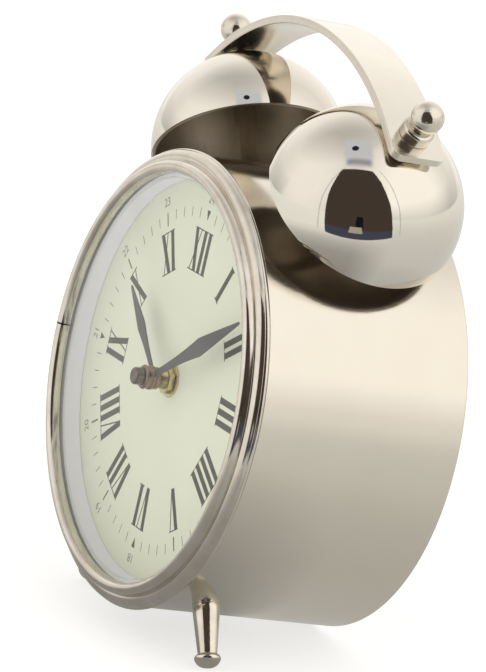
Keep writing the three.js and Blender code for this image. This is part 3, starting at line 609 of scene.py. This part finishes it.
def piece(name, shape, finish, body="clock", place=Matrix(), replaces=(), bevel=0.0):
    """A finished piece of the clock: its mesh is put in place, shaded smooth and given to its body."""
    data = bpy.data.meshes.new(name)
    shape.transform(clock_mm @ place)
    shape.to_mesh(data)
    shape.free()
    data.shade_smooth()
    for each in finish.split():
        data.materials.append(finishes[each])
    result = linked(name, data)
    if bevel:
        edges = result.modifiers.new("edges", "BEVEL")
        edges.width = bevel * millimetre
        edges.segments = 3
        edges.limit_method = "ANGLE"
    else:
        data.set_sharp_from_angle(angle=math.radians(40))
    even = result.modifiers.new("even", "WEIGHTED_NORMAL")
    even.keep_sharp = True
    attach(result, body)
    if replaces:
        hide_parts(*replaces)
    return result


def seat_on_drum(shape, place, low):
    """Moves the end at y = low along its own axis until it lies on the drum."""
    for vertex in shape.verts:
        if vertex.co.y > low + edge_round:
            continue
        start = place @ Vector((vertex.co.x, 0, vertex.co.z))
        along = (place.to_3x3() @ Vector((0, 1, 0))).normalized()
        start.y = 0
        b = start.dot(along)
        c = start.length_squared - drum_radius ** 2
        offset = vertex.co.y - low
        vertex.co.y = -b + math.sqrt(b * b - c) + offset


# Drum, bezel, glass and dial
drum_section = outline(
    (drum_inner, drum_front),
    (drum_radius, drum_front),
    (drum_radius, drum_rear - drum_edge_round),
    (drum_radius - drum_edge_round, drum_rear, -quarter_bulge * drum_edge_round),
    (drum_inner, drum_rear),
    (drum_inner, rear_flange_back),
    (drum_inner - rear_flange_width, rear_flange_back),
    (drum_inner - rear_flange_width, rear_flange_back - flange_thickness),
    (drum_inner, rear_flange_back - flange_thickness),
    (drum_inner, dial_flange_front + flange_thickness),
    (drum_inner - dial_flange_width, dial_flange_front + flange_thickness),
    (drum_inner - dial_flange_width, dial_flange_front),
    (drum_inner, dial_flange_front),
)
drum_shape = lathe(drum_section, wide_sides, fine_edge)
piece("drum_shell", drum_shape, "drum", replaces=["case_drum"])
bezel_section = outline(
    (opening_radius, lip_back),
    (opening_radius, lip_front),
    (main_bead_outer, lip_front, -main_bead_rise),
    (middle_bead_inner, middle_bead_front),
    (middle_bead_outer, middle_bead_back, -middle_bead_rise),
    (rear_bead_inner, rear_bead_front),
    (bezel_radius - rear_bead_inset / 2, bezel_back, -rear_bead_rise),
    (skirt_outer, bezel_back),
    (skirt_outer, -seat_gap),
    (skirt_inner, -seat_gap),
    (skirt_inner, lip_back),
)
piece(
    "bezel_ring", lathe(bezel_section, wide_sides, fine_edge), "bezel", replaces=["bezel"],
)


def dome(radius, reach, steps=24):
    centre = glass_sphere - glass_centre
    radii = [reach * i / steps for i in range(steps + 1)]
    return [Vector((r, centre - math.sqrt(radius ** 2 - r ** 2))) for r in radii]


glass_section = dome(glass_sphere + glass_thickness, glass_window)
glass_section += outline(
    (glass_window, glass_front),
    (glass_radius, glass_front),
    (glass_radius, glass_back),
    (glass_inside, glass_back),
)
glass_section += dome(glass_sphere, glass_inside)[::-1]
piece("glass_dome", lathe(glass_section, wide_sides), "glass", replaces=["glass"])
ring_front = opening_radius + ring_set_back
ring_section = outline(
    (ring_front, glass_back + seat_gap),
    (glass_radius, glass_back + seat_gap),
    (glass_radius, -seat_gap),
    (ring_front - ring_taper, -seat_gap),
)
piece(
    "dial_surround", lathe(ring_section, wide_sides, fine_edge), "ring", replaces=["dial_ring"],
)
piece(
    "dial_plate",
    tube(bush_radius + fit_gap, drum_inner - fit_gap, 0, dial_thickness, wide_sides),
    "dial",
    replaces=["dial"],
)


# Print on the dial

def stroke(low_s, low_h, high_s, high_h, width):
    """A straight stroke of a numeral between two heights, with its ends cut level."""
    half = width / 2
    return [(low_s - half, low_h), (low_s + half, low_h), (high_s + half, high_h), (high_s - half, high_h)]


def glyph_i(start):
    height = numeral_high - numeral_low
    middle = start + numeral_gap / 2
    return [stroke(middle, numeral_serif, middle, height - numeral_serif, numeral_stem)]


def glyph_v(start):
    height = numeral_high - numeral_low
    left = start + numeral_stem / 2 + numeral_edge
    right = start + numeral_v_width - numeral_v_edge
    foot = start + numeral_v_width * numeral_v_foot
    aside = numeral_stem * numeral_v_spread
    return [
        stroke(foot - aside, 0, left, height - numeral_serif, numeral_stem),
        stroke(foot + aside, 0, right, height - numeral_serif, numeral_hair),
    ]


def glyph_x(start):
    height = numeral_high - numeral_low
    left = start + numeral_stem / 2 + numeral_edge
    right = start + numeral_x_width - numeral_stem / 2 - numeral_edge
    return [
        stroke(right, numeral_serif, left, height - numeral_serif, numeral_stem),
        stroke(left, numeral_serif, right, height - numeral_serif, numeral_hair),
    ]


glyphs = {"I": (glyph_i, numeral_gap), "V": (glyph_v, numeral_v_width), "X": (glyph_x, numeral_x_width)}
hour_names = ["XII", "I", "II", "III", "IIII", "V", "VI", "VII", "VIII", "IX", "X", "XI"]


def numeral(name):
    """Strokes of a Roman numeral, centred, with the hairline serifs that join its letters."""
    height = numeral_high - numeral_low
    width = sum(glyphs[letter][1] for letter in name)
    start = -width / 2
    strokes = []
    for letter in name:
        draw, advance = glyphs[letter]
        strokes += draw(start)
        middle, serif = start + advance / 2, advance - numeral_serif_space
        if letter != "V":
            strokes.append(stroke(middle, 0, middle, numeral_serif, serif))
        strokes.append(stroke(middle, height - numeral_serif, middle, height, serif))
        start += advance
    return strokes


def on_dial(points, angle, radius):
    """Points drawn with their own height outwards from a radius, turned to their hour."""
    c, s = math.cos(angle), math.sin(angle)
    return [(x * c + (radius + h) * s, (radius + h) * c - x * s) for x, h in points]


def dial_print():
    shape = bmesh.new()
    for hour, name in enumerate(hour_names):
        for points in numeral(name):
            prism(on_dial(points, math.radians(30 * hour), numeral_low), -print_rise, 0, shape)
    for minute in range(60):
        angle = math.radians(6 * minute)
        if minute % 15 == 0:
            rise = tick_high - tick_low
            points = [(0, 0), (marker_half_width, rise), (-marker_half_width, rise)]
            prism(on_dial(points, angle, tick_low), -print_rise, 0, shape)
            continue
        on_hour = minute % 5 == 0
        low = hour_tick_low if on_hour else tick_low
        width = hour_tick_width if on_hour else tick_width
        prism(on_dial(stroke(0, 0, 0, tick_high - low, width), angle, low), -print_rise, 0, shape)
    return shape


piece("dial_numerals", dial_print(), "ink")


def small_count(hour):
    """The small number of an afternoon hour, outside the ring of minutes."""
    text = bpy.data.curves.new("count", "FONT")
    text.body = str(hour + 12)
    text.size = count_size
    text.align_x = "CENTER"
    text.align_y = "CENTER"
    text.extrude = print_rise / 2
    text.resolution_u = 4
    writer = linked("count", text)
    depsgraph = bpy.context.evaluated_depsgraph_get()
    data = bpy.data.meshes.new_from_object(writer.evaluated_get(depsgraph))
    bpy.data.objects.remove(writer)
    shape = bmesh.new()
    shape.from_mesh(data)
    bpy.data.meshes.remove(data)
    stand = Matrix.Translation((0, -print_rise / 2, count_radius)) @ Matrix.Rotation(math.pi / 2, 4, "X")
    shape.transform(Matrix.Rotation(math.radians(30 * hour), 4, "Y") @ stand)
    return shape


for hour in range(1, 13):
    piece(f"dial_count_{hour + 12}", small_count(hour), "grey_ink")

# Hub
piece(
    "hub_washer",
    tube(bush_radius + fit_gap, washer_radius, -seat_gap - washer_thickness, -seat_gap),
    "brass",
    replaces=["dial_washer"],
)


def hexagon_nut():
    """The hexagon nut on the bush, with its corners chamfered at both ends."""
    corner = dial_nut_across / math.sqrt(3)
    bore = bush_radius + seat_gap
    count = 96
    front = -hub_nut_back - dial_nut_height
    back = -hub_nut_back
    levels = [
        (0, front), (nut_front_corner, front), (1, front + nut_front_chamfer),
        (1, back - nut_back_chamfer), (nut_back_corner, back), (0, back),
    ]
    shape = bmesh.new()
    rings = []
    for share, y in levels:
        ring = []
        for i in range(count):
            angle = 2 * math.pi * i / count
            edge = dial_nut_across / 2 / math.cos(angle % (math.pi / 3) - math.pi / 6)
            radius = min(edge, corner * share) if share else bore
            ring.append(shape.verts.new((radius * math.sin(angle), y, radius * math.cos(angle))))
        rings.append(ring)
    for low, high in zip(rings, rings[1:] + rings[:1]):
        for i in range(count):
            j = (i + 1) % count
            shape.faces.new((low[i], low[j], high[j], high[i]))
    bmesh.ops.recalc_face_normals(shape, faces=shape.faces)
    return shape


piece("hub_nut", hexagon_nut(), "brass", replaces=["dial_nut"])


def threaded_bush():
    """The part of the bush in front of the dial, with its thread as rings, and the plain part behind."""
    movement_front = dial_thickness + seat_gap + gasket_thickness + seat_gap
    flange_front = movement_front + movement_wall + seat_gap
    flange_back = flange_front + bush_flange_thickness
    steps = [(hour_tube_radius + seat_gap, -bush_proud), (bush_radius - thread_depth, -bush_proud)]
    y = -bush_proud + thread_pitch / 2
    while y < flange_front - thread_pitch:
        steps += [(bush_radius, y), (bush_radius - thread_depth, y + thread_pitch / 2)]
        y += thread_pitch
    steps += [(bush_radius, flange_front), (bush_flange_radius, flange_front)]
    steps += [(bush_flange_radius, flange_back), (hour_tube_radius + seat_gap, flange_back)]
    return lathe([Vector(p) for p in steps], turned_sides, 0)


piece("hub_bush", threaded_bush(), "brass", replaces=["centre_bush"])


# Hands

def blade(reach, width, root_width, root):
    """Leaf-shaped outline of a hand that points to the top of the dial."""
    widest = blade_widest_share * reach
    half, root_half, tip = width / 2, root_width / 2, hand_tip_width / 2
    shoulder = Vector((-half, widest))
    swell = Vector((-root_half, blade_root_share * widest))
    taper = Vector((-blade_taper_width * half, blade_taper_share * widest))
    left = curve(Vector((-root_half, root)), swell, shoulder, 14)
    left += curve(shoulder, taper, Vector((-tip, reach - tip)), 14)[1:]
    right = [Vector((-x, z)) for x, z in reversed(left)]
    return left + [Vector((0, reach))] + right


def hand(name, blade_points, blade_front, turn, body, node):
    shape = prism(blade_points, -blade_front, -blade_front + hand_thickness)
    piece(name, shape, "hand", body, Matrix.Rotation(turn, 4, "Y"), [node], blade_bevel)


hour_bore = hour_tube_radius + seat_gap
hour_root = (hour_bore + hour_collet_radius) / 2
hand(
    "hour_blade", blade(hour_reach, hour_width, hour_root_width, hour_root),
    hour_blade_front, hour_turn, "hour_hand_set", "hour_hand",
)
piece(
    "hour_collet",
    tube(hour_bore, hour_collet_radius, -hour_collet_front, -hour_collet_back),
    "collet",
    "hour_hand_set",
)
minute_bore = arbor_radius + seat_gap
minute_root = (minute_bore + minute_collet_radius) / 2
hand(
    "minute_blade", blade(minute_reach, minute_width, minute_root_width, minute_root),
    minute_blade_front, minute_turn, "minute_hand_set", "minute_hand",
)
groove_front = collet_chamfer + collet_front_band
collet_section = outline(
    (minute_bore, -minute_collet_back),
    (minute_bore, -minute_collet_front),
    (minute_collet_radius - collet_chamfer, -minute_collet_front),
    (minute_collet_radius, -minute_collet_front + collet_chamfer),
    (minute_collet_radius, -minute_collet_front + groove_front),
    (minute_collet_radius - collet_groove, -minute_collet_front + groove_front + collet_slope),
    (minute_collet_radius - collet_groove, -minute_collet_back - collet_back_band - collet_slope),
    (minute_collet_radius, -minute_collet_back - collet_back_band),
    (minute_collet_radius, -minute_collet_back),
)
collet_shape = lathe(collet_section, turned_sides, fine_edge)
piece("minute_collet", collet_shape, "collet", "minute_hand_set")
cap_section = outline(
    (0, -cap_back),
    (cap_radius, -cap_back),
    (cap_radius, cap_round - cap_front),
    (cap_radius - cap_round, -cap_front, quarter_bulge * cap_round),
    (0, -cap_front),
)
piece("hub_cap", lathe(cap_section), "cap", "minute_hand_set", replaces=["hand_cap"])

# Bells, posts, finials and handle
def bell_curve(radius, height, steps):
    last = math.acos(bell_seat_radius / radius)
    angles = [last * i / steps for i in range(steps + 1)]
    return [Vector((radius * math.cos(a), height * math.sin(a) / math.sin(last))) for a in angles]


def bell_shell():
    bore = stud_radius + fit_gap
    outside = bell_curve(bell_radius, bell_height, 48)
    inside = bell_curve(bell_radius - bell_wall, bell_height - bell_wall, 40)[::-1]
    seat = outline((bore, bell_height), (bore, bell_height - bell_wall))
    lip = outline((bell_radius - bell_wall - bell_lip, 0), (bell_radius, 0, bell_lip))
    shape = lathe(outside + seat + inside[:-1] + lip[:-1], bell_sides, 0)
    middle_radius, middle_height = bell_radius - bell_wall / 2, bell_height - bell_wall / 2
    for face in shape.faces:
        x, y, z = face.calc_center_median()
        face.material_index = int((x * x + z * z) / middle_radius ** 2 + (y / middle_height) ** 2 < 1)
    return shape


def finial():
    collar_top = finial_bottom + finial_collar_height
    neck_top = collar_top + finial_neck_height
    ball_rise = math.sqrt(finial_ball_radius ** 2 - finial_neck_radius ** 2)
    start = math.atan2(-ball_rise, finial_neck_radius)
    steps = 28
    angles = [start + (math.pi / 2 - start) * i / steps for i in range(steps + 1)]
    ball = [
        Vector((finial_ball_radius * math.cos(a), neck_top + ball_rise + finial_ball_radius * math.sin(a)))
        for a in angles
    ]
    ball[-1].x = 0
    body = softened(
        outline(
            (0, finial_bottom),
            (finial_collar_radius, finial_bottom),
            (finial_collar_radius, collar_top - finial_shoulder),
            (finial_neck_radius, collar_top, -finial_shoulder / 2),
        ),
        edge_round,
        False,
    )
    return lathe(body + ball, turned_sides, 0)


for side, sign in (("left", -1), ("right", 1)):
    bell_place = spoke(sign * bell_tilt, sign * bell_mouth.x, bell_depth, bell_mouth.y)
    post_low = -bell_lift - spacer_radius
    post = tube(stud_radius + seat_gap, spacer_radius, post_low, bell_height - bell_wall - seat_gap)
    seat_on_drum(post, bell_place, post_low)
    pad = tube(stud_radius + fit_gap, pad_radius, pad_bottom, pad_bottom + pad_thickness)
    for name, shape, finish, slot, node in (
        ("bell_shell", bell_shell(), "bell bell_inside", "bell_nickel", "bell"),
        ("bell_post", post, "turned", "polished_nickel", "bell_spacer"),
        ("strap_pad", pad, "turned", "polished_nickel", "bell_pad"),
        ("finial_knob", finial(), "turned", "polished_nickel", "finial"),
    ):
        piece(f"{side}_{name}", shape, finish, place=bell_place, replaces=[f"{side}_{node}"])


def strap_stations():
    """Places along the strap's middle surface: point, outward normal, and half of its width there."""
    half = strap_width / 2
    middle_radius = strap_radius - strap_thickness / 2
    stations = []
    arc_steps = 96
    for i in range(arc_steps + 1):
        angle = -bell_tilt + 2 * bell_tilt * i / arc_steps
        normal = Vector((math.sin(angle), math.cos(angle)))
        stations.append((Vector((0, strap_centre)) + normal * middle_radius, normal, half))
    end_steps = 16
    for sign in (-1, 1):
        point, normal, _ = stations[0 if sign < 0 else -1]
        along = Vector((normal.y, -normal.x)) * sign
        tab = []
        for i in range(1, end_steps + 1):
            share = math.sin(math.pi / 2 * i / end_steps)
            reach = strap_tab * share
            left = strap_tab - reach
            narrow = 0
            if left < strap_corner:
                narrow = strap_corner - math.sqrt(max(0, strap_corner ** 2 - (strap_corner - left) ** 2))
            tab.append((point + along * reach, normal, half - narrow))
        stations = tab[::-1] + stations if sign < 0 else stations + tab
    return stations


def strap():
    shape = bmesh.new()
    rings = []
    low, high = -strap_thickness / 2, strap_thickness / 2
    for point, normal, half in strap_stations():
        corners = [Vector((-half, low)), Vector((half, low)), Vector((half, high)), Vector((-half, high))]
        section = []
        for i, corner in enumerate(corners):
            section += rounded(corner, corners[i - 1] - corner, corners[(i + 1) % 4] - corner, strap_edge)
        places = [point + normal * h for _, h in section]
        rings.append([shape.verts.new((p.x, bell_depth + w, p.y)) for p, (w, _) in zip(places, section)])
    for low_ring, high_ring in zip(rings, rings[1:]):
        count = len(low_ring)
        for i in range(count):
            j = (i + 1) % count
            shape.faces.new((low_ring[i], low_ring[j], high_ring[j], high_ring[i]))
    shape.faces.new(rings[0])
    shape.faces.new(reversed(rings[-1]))
    bmesh.ops.recalc_face_normals(shape, faces=shape.faces)
    # The two sides, facing along the drum's axis, take the second finish: the plating painted darker, painted
    # shade
    for face in shape.faces:
        face.material_index = int(abs(face.normal.y) > 0.8)
    return shape


piece("strap_handle", strap(), "strap strap_side", replaces=["handle_strap"])


# Feet

def foot():
    neck = drum_radius + foot_cone_length
    widest = neck + foot_bead_share * foot_bead_height
    low = drum_radius
    return lathe(
        outline(
            (0, low),
            (foot_top_radius, low),
            (foot_top_radius, drum_radius + foot_shoulder),
            (foot_neck_radius, neck),
            (foot_bead_radius, widest, -foot_bead_bulge),
            (0, neck + foot_bead_height, -foot_end_bulge),
        ),
        turned_sides,
        fine_edge,
    )


def ground_flat(shape, place):
    """Grinds off what would reach under the table top."""
    whole = clock_mm @ place
    shape.transform(whole)
    geometry = list(shape.verts) + list(shape.edges) + list(shape.faces)
    plane = {"plane_co": (0, 0, 0), "plane_no": (0, 0, -1)}
    cut = bmesh.ops.bisect_plane(shape, geom=geometry, clear_outer=True, **plane)
    edges = [e for e in cut["geom_cut"] if isinstance(e, bmesh.types.BMEdge)]
    if edges:
        bmesh.ops.holes_fill(shape, edges=edges)
    shape.transform(whole.inverted())


for side, sign in (("left", -1), ("right", 1)):
    foot_place = spoke(sign * (math.pi - foot_angle), 0, foot_depth, 0)
    shape = foot()
    for vertex in shape.verts:
        if vertex.co.y < drum_radius + fine_edge:
            vertex.co.y = math.sqrt(drum_radius ** 2 - vertex.co.x ** 2) + vertex.co.y - drum_radius
    ground_flat(shape, foot_place)
    slot, node = "polished_nickel", f"{side}_foot"
    piece(f"{side}_foot_turned", shape, "turned", place=foot_place, replaces=[node])

# Back cover and its screws
bead_inner = access_radius + cover_bead_inset
bead_outer = bead_inner + cover_bead_width
cover_section = outline(
    (access_radius, cover_front - access_hem),
    (access_radius + cover_thickness, cover_front - access_hem),
    (access_radius + cover_thickness, cover_front),
    (bead_inner, cover_front),
    (bead_outer, cover_front, cover_bead_rise),
    (cover_radius, cover_front),
    (cover_radius, cover_back),
    (bead_outer, cover_back),
    (bead_inner, cover_back, -cover_bead_rise),
    (access_radius, cover_back),
)
cover_shape = lathe(cover_section, wide_sides, fine_edge)
piece("rear_cover", cover_shape, "drum", replaces=["back_cover"])


def screw_head():
    """A domed head with a cross-shaped recess, on its seat."""
    seat = cover_back + seat_gap
    section = [Vector((0, seat)), Vector((screw_head_radius, seat))]
    for i in range(15):
        share = 1 - i / 14
        rise = screw_head_height * math.sqrt(1 - screw_dome * share ** 2)
        section.append(Vector((screw_head_radius * share, seat + rise)))
    shape = lathe(section, small_sides, 0)
    for vertex in shape.verts:
        x, y, z = vertex.co
        arm = min(abs(x), abs(z))
        reach = max(abs(x), abs(z))
        in_slot = arm < screw_slot_width / 2 and reach < screw_slot_reach * screw_head_radius
        if y > seat + screw_slot_edge and in_slot:
            vertex.co.y = seat + screw_slot_floor * screw_head_height
    return shape


for i in range(cover_screw_count):
    angle = (i + 0.5) * 2 * math.pi / cover_screw_count
    place = Matrix.Translation(cover_screw_circle * Vector((math.cos(angle), 0, math.sin(angle))))
    node = f"cover_screw_{i + 1}"
    piece(f"rear_screw_{i + 1}", screw_head(), "steel", place=place, replaces=[node])


# Studio: floor, sky, and what the metal mirrors

def studio_material(name, colour, strength=1.0):
    material = bpy.data.materials.new(name)
    tree = Tree(material)
    tree.nodes.remove(tree.nodes["Principled BSDF"])
    light = tree.add("ShaderNodeEmission")
    tree.feed(light.inputs["Color"], (*colour, 1))
    light.inputs["Strength"].default_value = strength
    tree.feed(tree.nodes["Material Output"].inputs["Surface"], light.outputs[0])
    return material, tree, light


def flat_stage(name, material, corners):
    data = bpy.data.meshes.new(name)
    data.from_pydata(corners, [], [range(len(corners))])
    data.materials.append(material)
    panel = linked(name, data)
    return panel


def mirrored_only(name, material, corners):
    """A part of the studio that only mirroring surfaces show: it glows, lights nothing and casts no shadow, so it
    is a painted reflection.
    """
    panel = flat_stage(name, material, corners)
    panel.visible_camera = False
    panel.visible_diffuse = False
    panel.visible_shadow = False
    return panel


def square(half, z):
    return [(-half, -half, z), (half, -half, z), (half, half, z), (-half, half, z)]


floor_material = principled(
    "floor_white", base_color=(0.55, 0.55, 0.55, 1), roughness=0.9, specular_ior_level=0.0,
    emission_color=(1, 1, 1, 1), emission_strength=0.62,
)[0]
flat_stage("floor", floor_material, square(14, -0.0002))


def soft_lobe(tree, direction, centre, inner, outer, gain):
    """Brightness that fades from an inner to an outer angle round a direction."""
    dot = tree.add("ShaderNodeVectorMath", operation="DOT_PRODUCT")
    tree.feed(dot.inputs[0], direction)
    dot.inputs[1].default_value = centre
    limits = [math.cos(math.radians(a)) for a in (outer, inner)]
    return tree.spread(dot.outputs["Value"], *limits, 0.0, gain)


def toward(azimuth, elevation):
    a, e = math.radians(azimuth), math.radians(elevation)
    return Vector((math.sin(a) * math.cos(e), -math.cos(a) * math.cos(e), math.sin(e)))


def greys(*stops):
    return [(place, (tone,) * 3) for place, tone in stops]


# The floor as the metal mirrors it, a glowing card that only mirroring surfaces show: painted shadow makes it grey
# near the clock, and in front it soon rises into a pale wall
mirrored_floor, tree, light = studio_material("mirrored_floor", (1.0, 0.99, 0.935))
distance = tree.add("ShaderNodeVectorMath", operation="LENGTH")
tree.feed(distance.inputs[0], tree.place())
heading = tree.add("ShaderNodeVectorMath", operation="NORMALIZE")
tree.feed(heading.inputs[0], tree.place())
share = tree.math("DIVIDE", distance.outputs["Value"], 3.0)
# Tones by distance from the clock: the dark ones near it are painted shadow
side_tones = greys((0.03, 0.50), (0.09, 0.66), (0.2, 0.72), (0.28, 0.76), (0.5, 0.84), (1.0, 0.90))
front_tones = greys((0.03, 0.30), (0.09, 0.40), (0.14, 0.60), (0.18, 0.82), (0.24, 0.95), (1.0, 0.98))
side_tone = tree.ramp(share, *side_tones)
front_tone = tree.ramp(share, *front_tones)
in_front = soft_lobe(tree, heading.outputs["Vector"], toward(15, 0), 50, 88, 1.0)
blend = tree.add("ShaderNodeMix", data_type="FLOAT")
for index, value in ((0, in_front), (2, side_tone), (3, front_tone)):
    tree.feed(blend.inputs[index], value)
tree.feed(light.inputs["Strength"], blend.outputs[0])
mirrored_only("mirrored_floor", mirrored_floor, square(13.9, 0.0004))

world = bpy.data.worlds.new("studio")
scene.world = world
sky = Tree(world)
direction = sky.add("ShaderNodeTexCoord").outputs["Generated"]
front_wall = soft_lobe(sky, direction, toward(-12, 24), 15, 50, 0.24)
right_wall = soft_lobe(sky, direction, toward(126, 24), 26, 60, 0.38)
back_wall = soft_lobe(sky, direction, toward(-118, 12), 20, 62, 0.26)
roof_shade = soft_lobe(sky, direction, toward(-60, 66), 8, 38, -0.24)
even_light = 0.84
walls = sky.math("ADD", sky.math("ADD", front_wall, right_wall), sky.math("ADD", back_wall, roof_shade))
walls = sky.math("ADD", walls, even_light)
height = sky.add("ShaderNodeSeparateXYZ")
sky.feed(height.inputs[0], direction)
low_shade = sky.spread(height.outputs["Z"], 0.0, 0.26, 0.72, 1.0)
low_shade = sky.math("MAXIMUM", low_shade, soft_lobe(sky, direction, toward(15, 0), 50, 88, 1.0))
low_shade = sky.math("MAXIMUM", low_shade, soft_lobe(sky, direction, toward(-118, 0), 30, 70, 1.0))
sky.feed(sky.nodes["Background"].inputs["Color"], (1, 0.97, 0.925, 1))
sky.feed(sky.nodes["Background"].inputs["Strength"], sky.math("MULTIPLY", walls, low_shade))

# The open front of the light tent, with the dark room and the camera's stand behind it, as painted reflections
door_base = Vector((0.436, -0.205, 0))
door_across = Vector((0.5, 0.866, 0))
door_outwards = Vector((0.866, -0.5, 0))


def in_door(set_in, *corners):
    """Corners given across and up the opening, moved a little from it towards the clock."""
    base = door_base - door_outwards * set_in
    return [base + door_across * w + Vector((0, 0, z)) for w, z in corners]


def tent_card(name, colour, corners):
    """A flat even-coloured painted reflection: a part of the studio that only mirroring surfaces show."""
    return mirrored_only(name, studio_material(name, colour)[0], corners)


door_outline = ((-0.312, 0), (0.363, 0), (0.3, 0.33), (0.2, 0.6), (0.11, 0.75), (-0.29, 0.76), (-0.33, 0.4))
for name, colour, set_in, corners in (
    ("door", (0.062, 0.047, 0.038), 0, door_outline),
    ("door_floor", (0.062, 0.066, 0.10), 0.004, ((-0.3, 0), (0.35, 0), (0.33, 0.085), (-0.3, 0.085))),
    ("door_stand", (0.008, 0.008, 0.01), 0.006, ((-0.02, 0.1), (0.05, 0.1), (0.04, 0.2), (-0.01, 0.2))),
    ("door_box", (0.42, 0.40, 0.33), 0.008, ((-0.07, 0.06), (0.05, 0.06), (0.035, 0.115), (-0.055, 0.115))),
):
    tent_card(name, colour, in_door(set_in, *corners))


def soft_panel(name, colour, corners, border):
    """A four-cornered painted reflection, a part of the studio that only mirroring surfaces show, whose edges fade
    out.
    """
    material, tree, light = studio_material(name, colour)
    clear = tree.add("ShaderNodeBsdfTransparent")
    parts = tree.add("ShaderNodeSeparateXYZ")
    tree.feed(parts.inputs[0], tree.add("ShaderNodeTexCoord").outputs["UV"])
    shares = []
    for value, width in zip(parts.outputs, border):
        nearest = tree.math("MINIMUM", value, tree.math("SUBTRACT", 1.0, value))
        shares.append(tree.spread(nearest, 0.0, width, 0.0, 1.0))
    mix = tree.add("ShaderNodeMixShader")
    tree.feed(mix.inputs[0], tree.math("MULTIPLY", *shares))
    tree.feed(mix.inputs[1], clear.outputs[0])
    tree.feed(mix.inputs[2], light.outputs[0])
    tree.feed(tree.nodes["Material Output"].inputs["Surface"], mix.outputs[0])
    panel = mirrored_only(name, material, corners)
    layer = panel.data.uv_layers.new(name="borders")
    for loop, place in zip(layer.data, ((0, 0), (1, 0), (1, 1), (0, 1))):
        loop.uv = place
    return panel


# Painted reflections of the slit in the tent's roof and its shaded edge, a dark peephole, and the seams of the
# tent
soft_panel(
    "ceiling_slit", (0.66, 0.685, 0.74),
    [(0.28, -0.45, 0.80), (0.50, -0.07, 0.80), (0.06, 0.08, 1.15), (-0.20, -0.24, 1.15)],
    (0.12, 0.35),
)
soft_panel(
    "slit_shade", (0.36, 0.37, 0.44),
    [(0.29, -0.43, 0.79), (0.49, -0.09, 0.79), (0.36, -0.04, 0.88), (0.18, -0.35, 0.88)],
    (0.15, 0.4),
)
hole_centre = Vector((0.13, -0.19, 0.95))
hole_radius = 0.045
hole_angles = [2 * math.pi * i / 16 for i in range(16)]
hole = [hole_centre + hole_radius * Vector((math.cos(a), math.sin(a), 0)) for a in hole_angles]
tent_card("peephole", (0.02, 0.02, 0.03), hole)
seam_width = 0.014
for side, path in (
    ("left", ((-0.43, 0.0), (-0.42, 0.35), (-0.36, 0.58), (-0.26, 0.80))),
    ("right", ((0.48, 0.0), (0.42, 0.33), (0.33, 0.58), (0.20, 0.80))),
):
    back = [(w + seam_width, z) for w, z in reversed(path)]
    tent_card(f"seam_{side}", (0.56, 0.54, 0.50), in_door(0, *path, *back))

# Camera, from the solved view of the photograph
camera_place = clock_frame.translation + Vector((1.647328, -0.798136, 0.467294))
camera_forward = Vector((-0.867771, 0.437267, -0.236158))
camera_up = Vector((-0.256338, 0.013272, 0.966496))
camera_right = camera_forward.cross(camera_up).normalized()
camera_turn = Matrix((camera_right, camera_right.cross(camera_forward), -camera_forward)).transposed()
lens = bpy.data.cameras.new("camera")
lens.lens = 238.2
lens.sensor_width = 36
lens.clip_start = 0.05
lens.clip_end = 60
camera = linked("camera", lens)
camera.matrix_world = Matrix.Translation(camera_place) @ camera_turn.to_4x4()
scene.camera = camera
scene.view_settings.view_transform = "Standard"
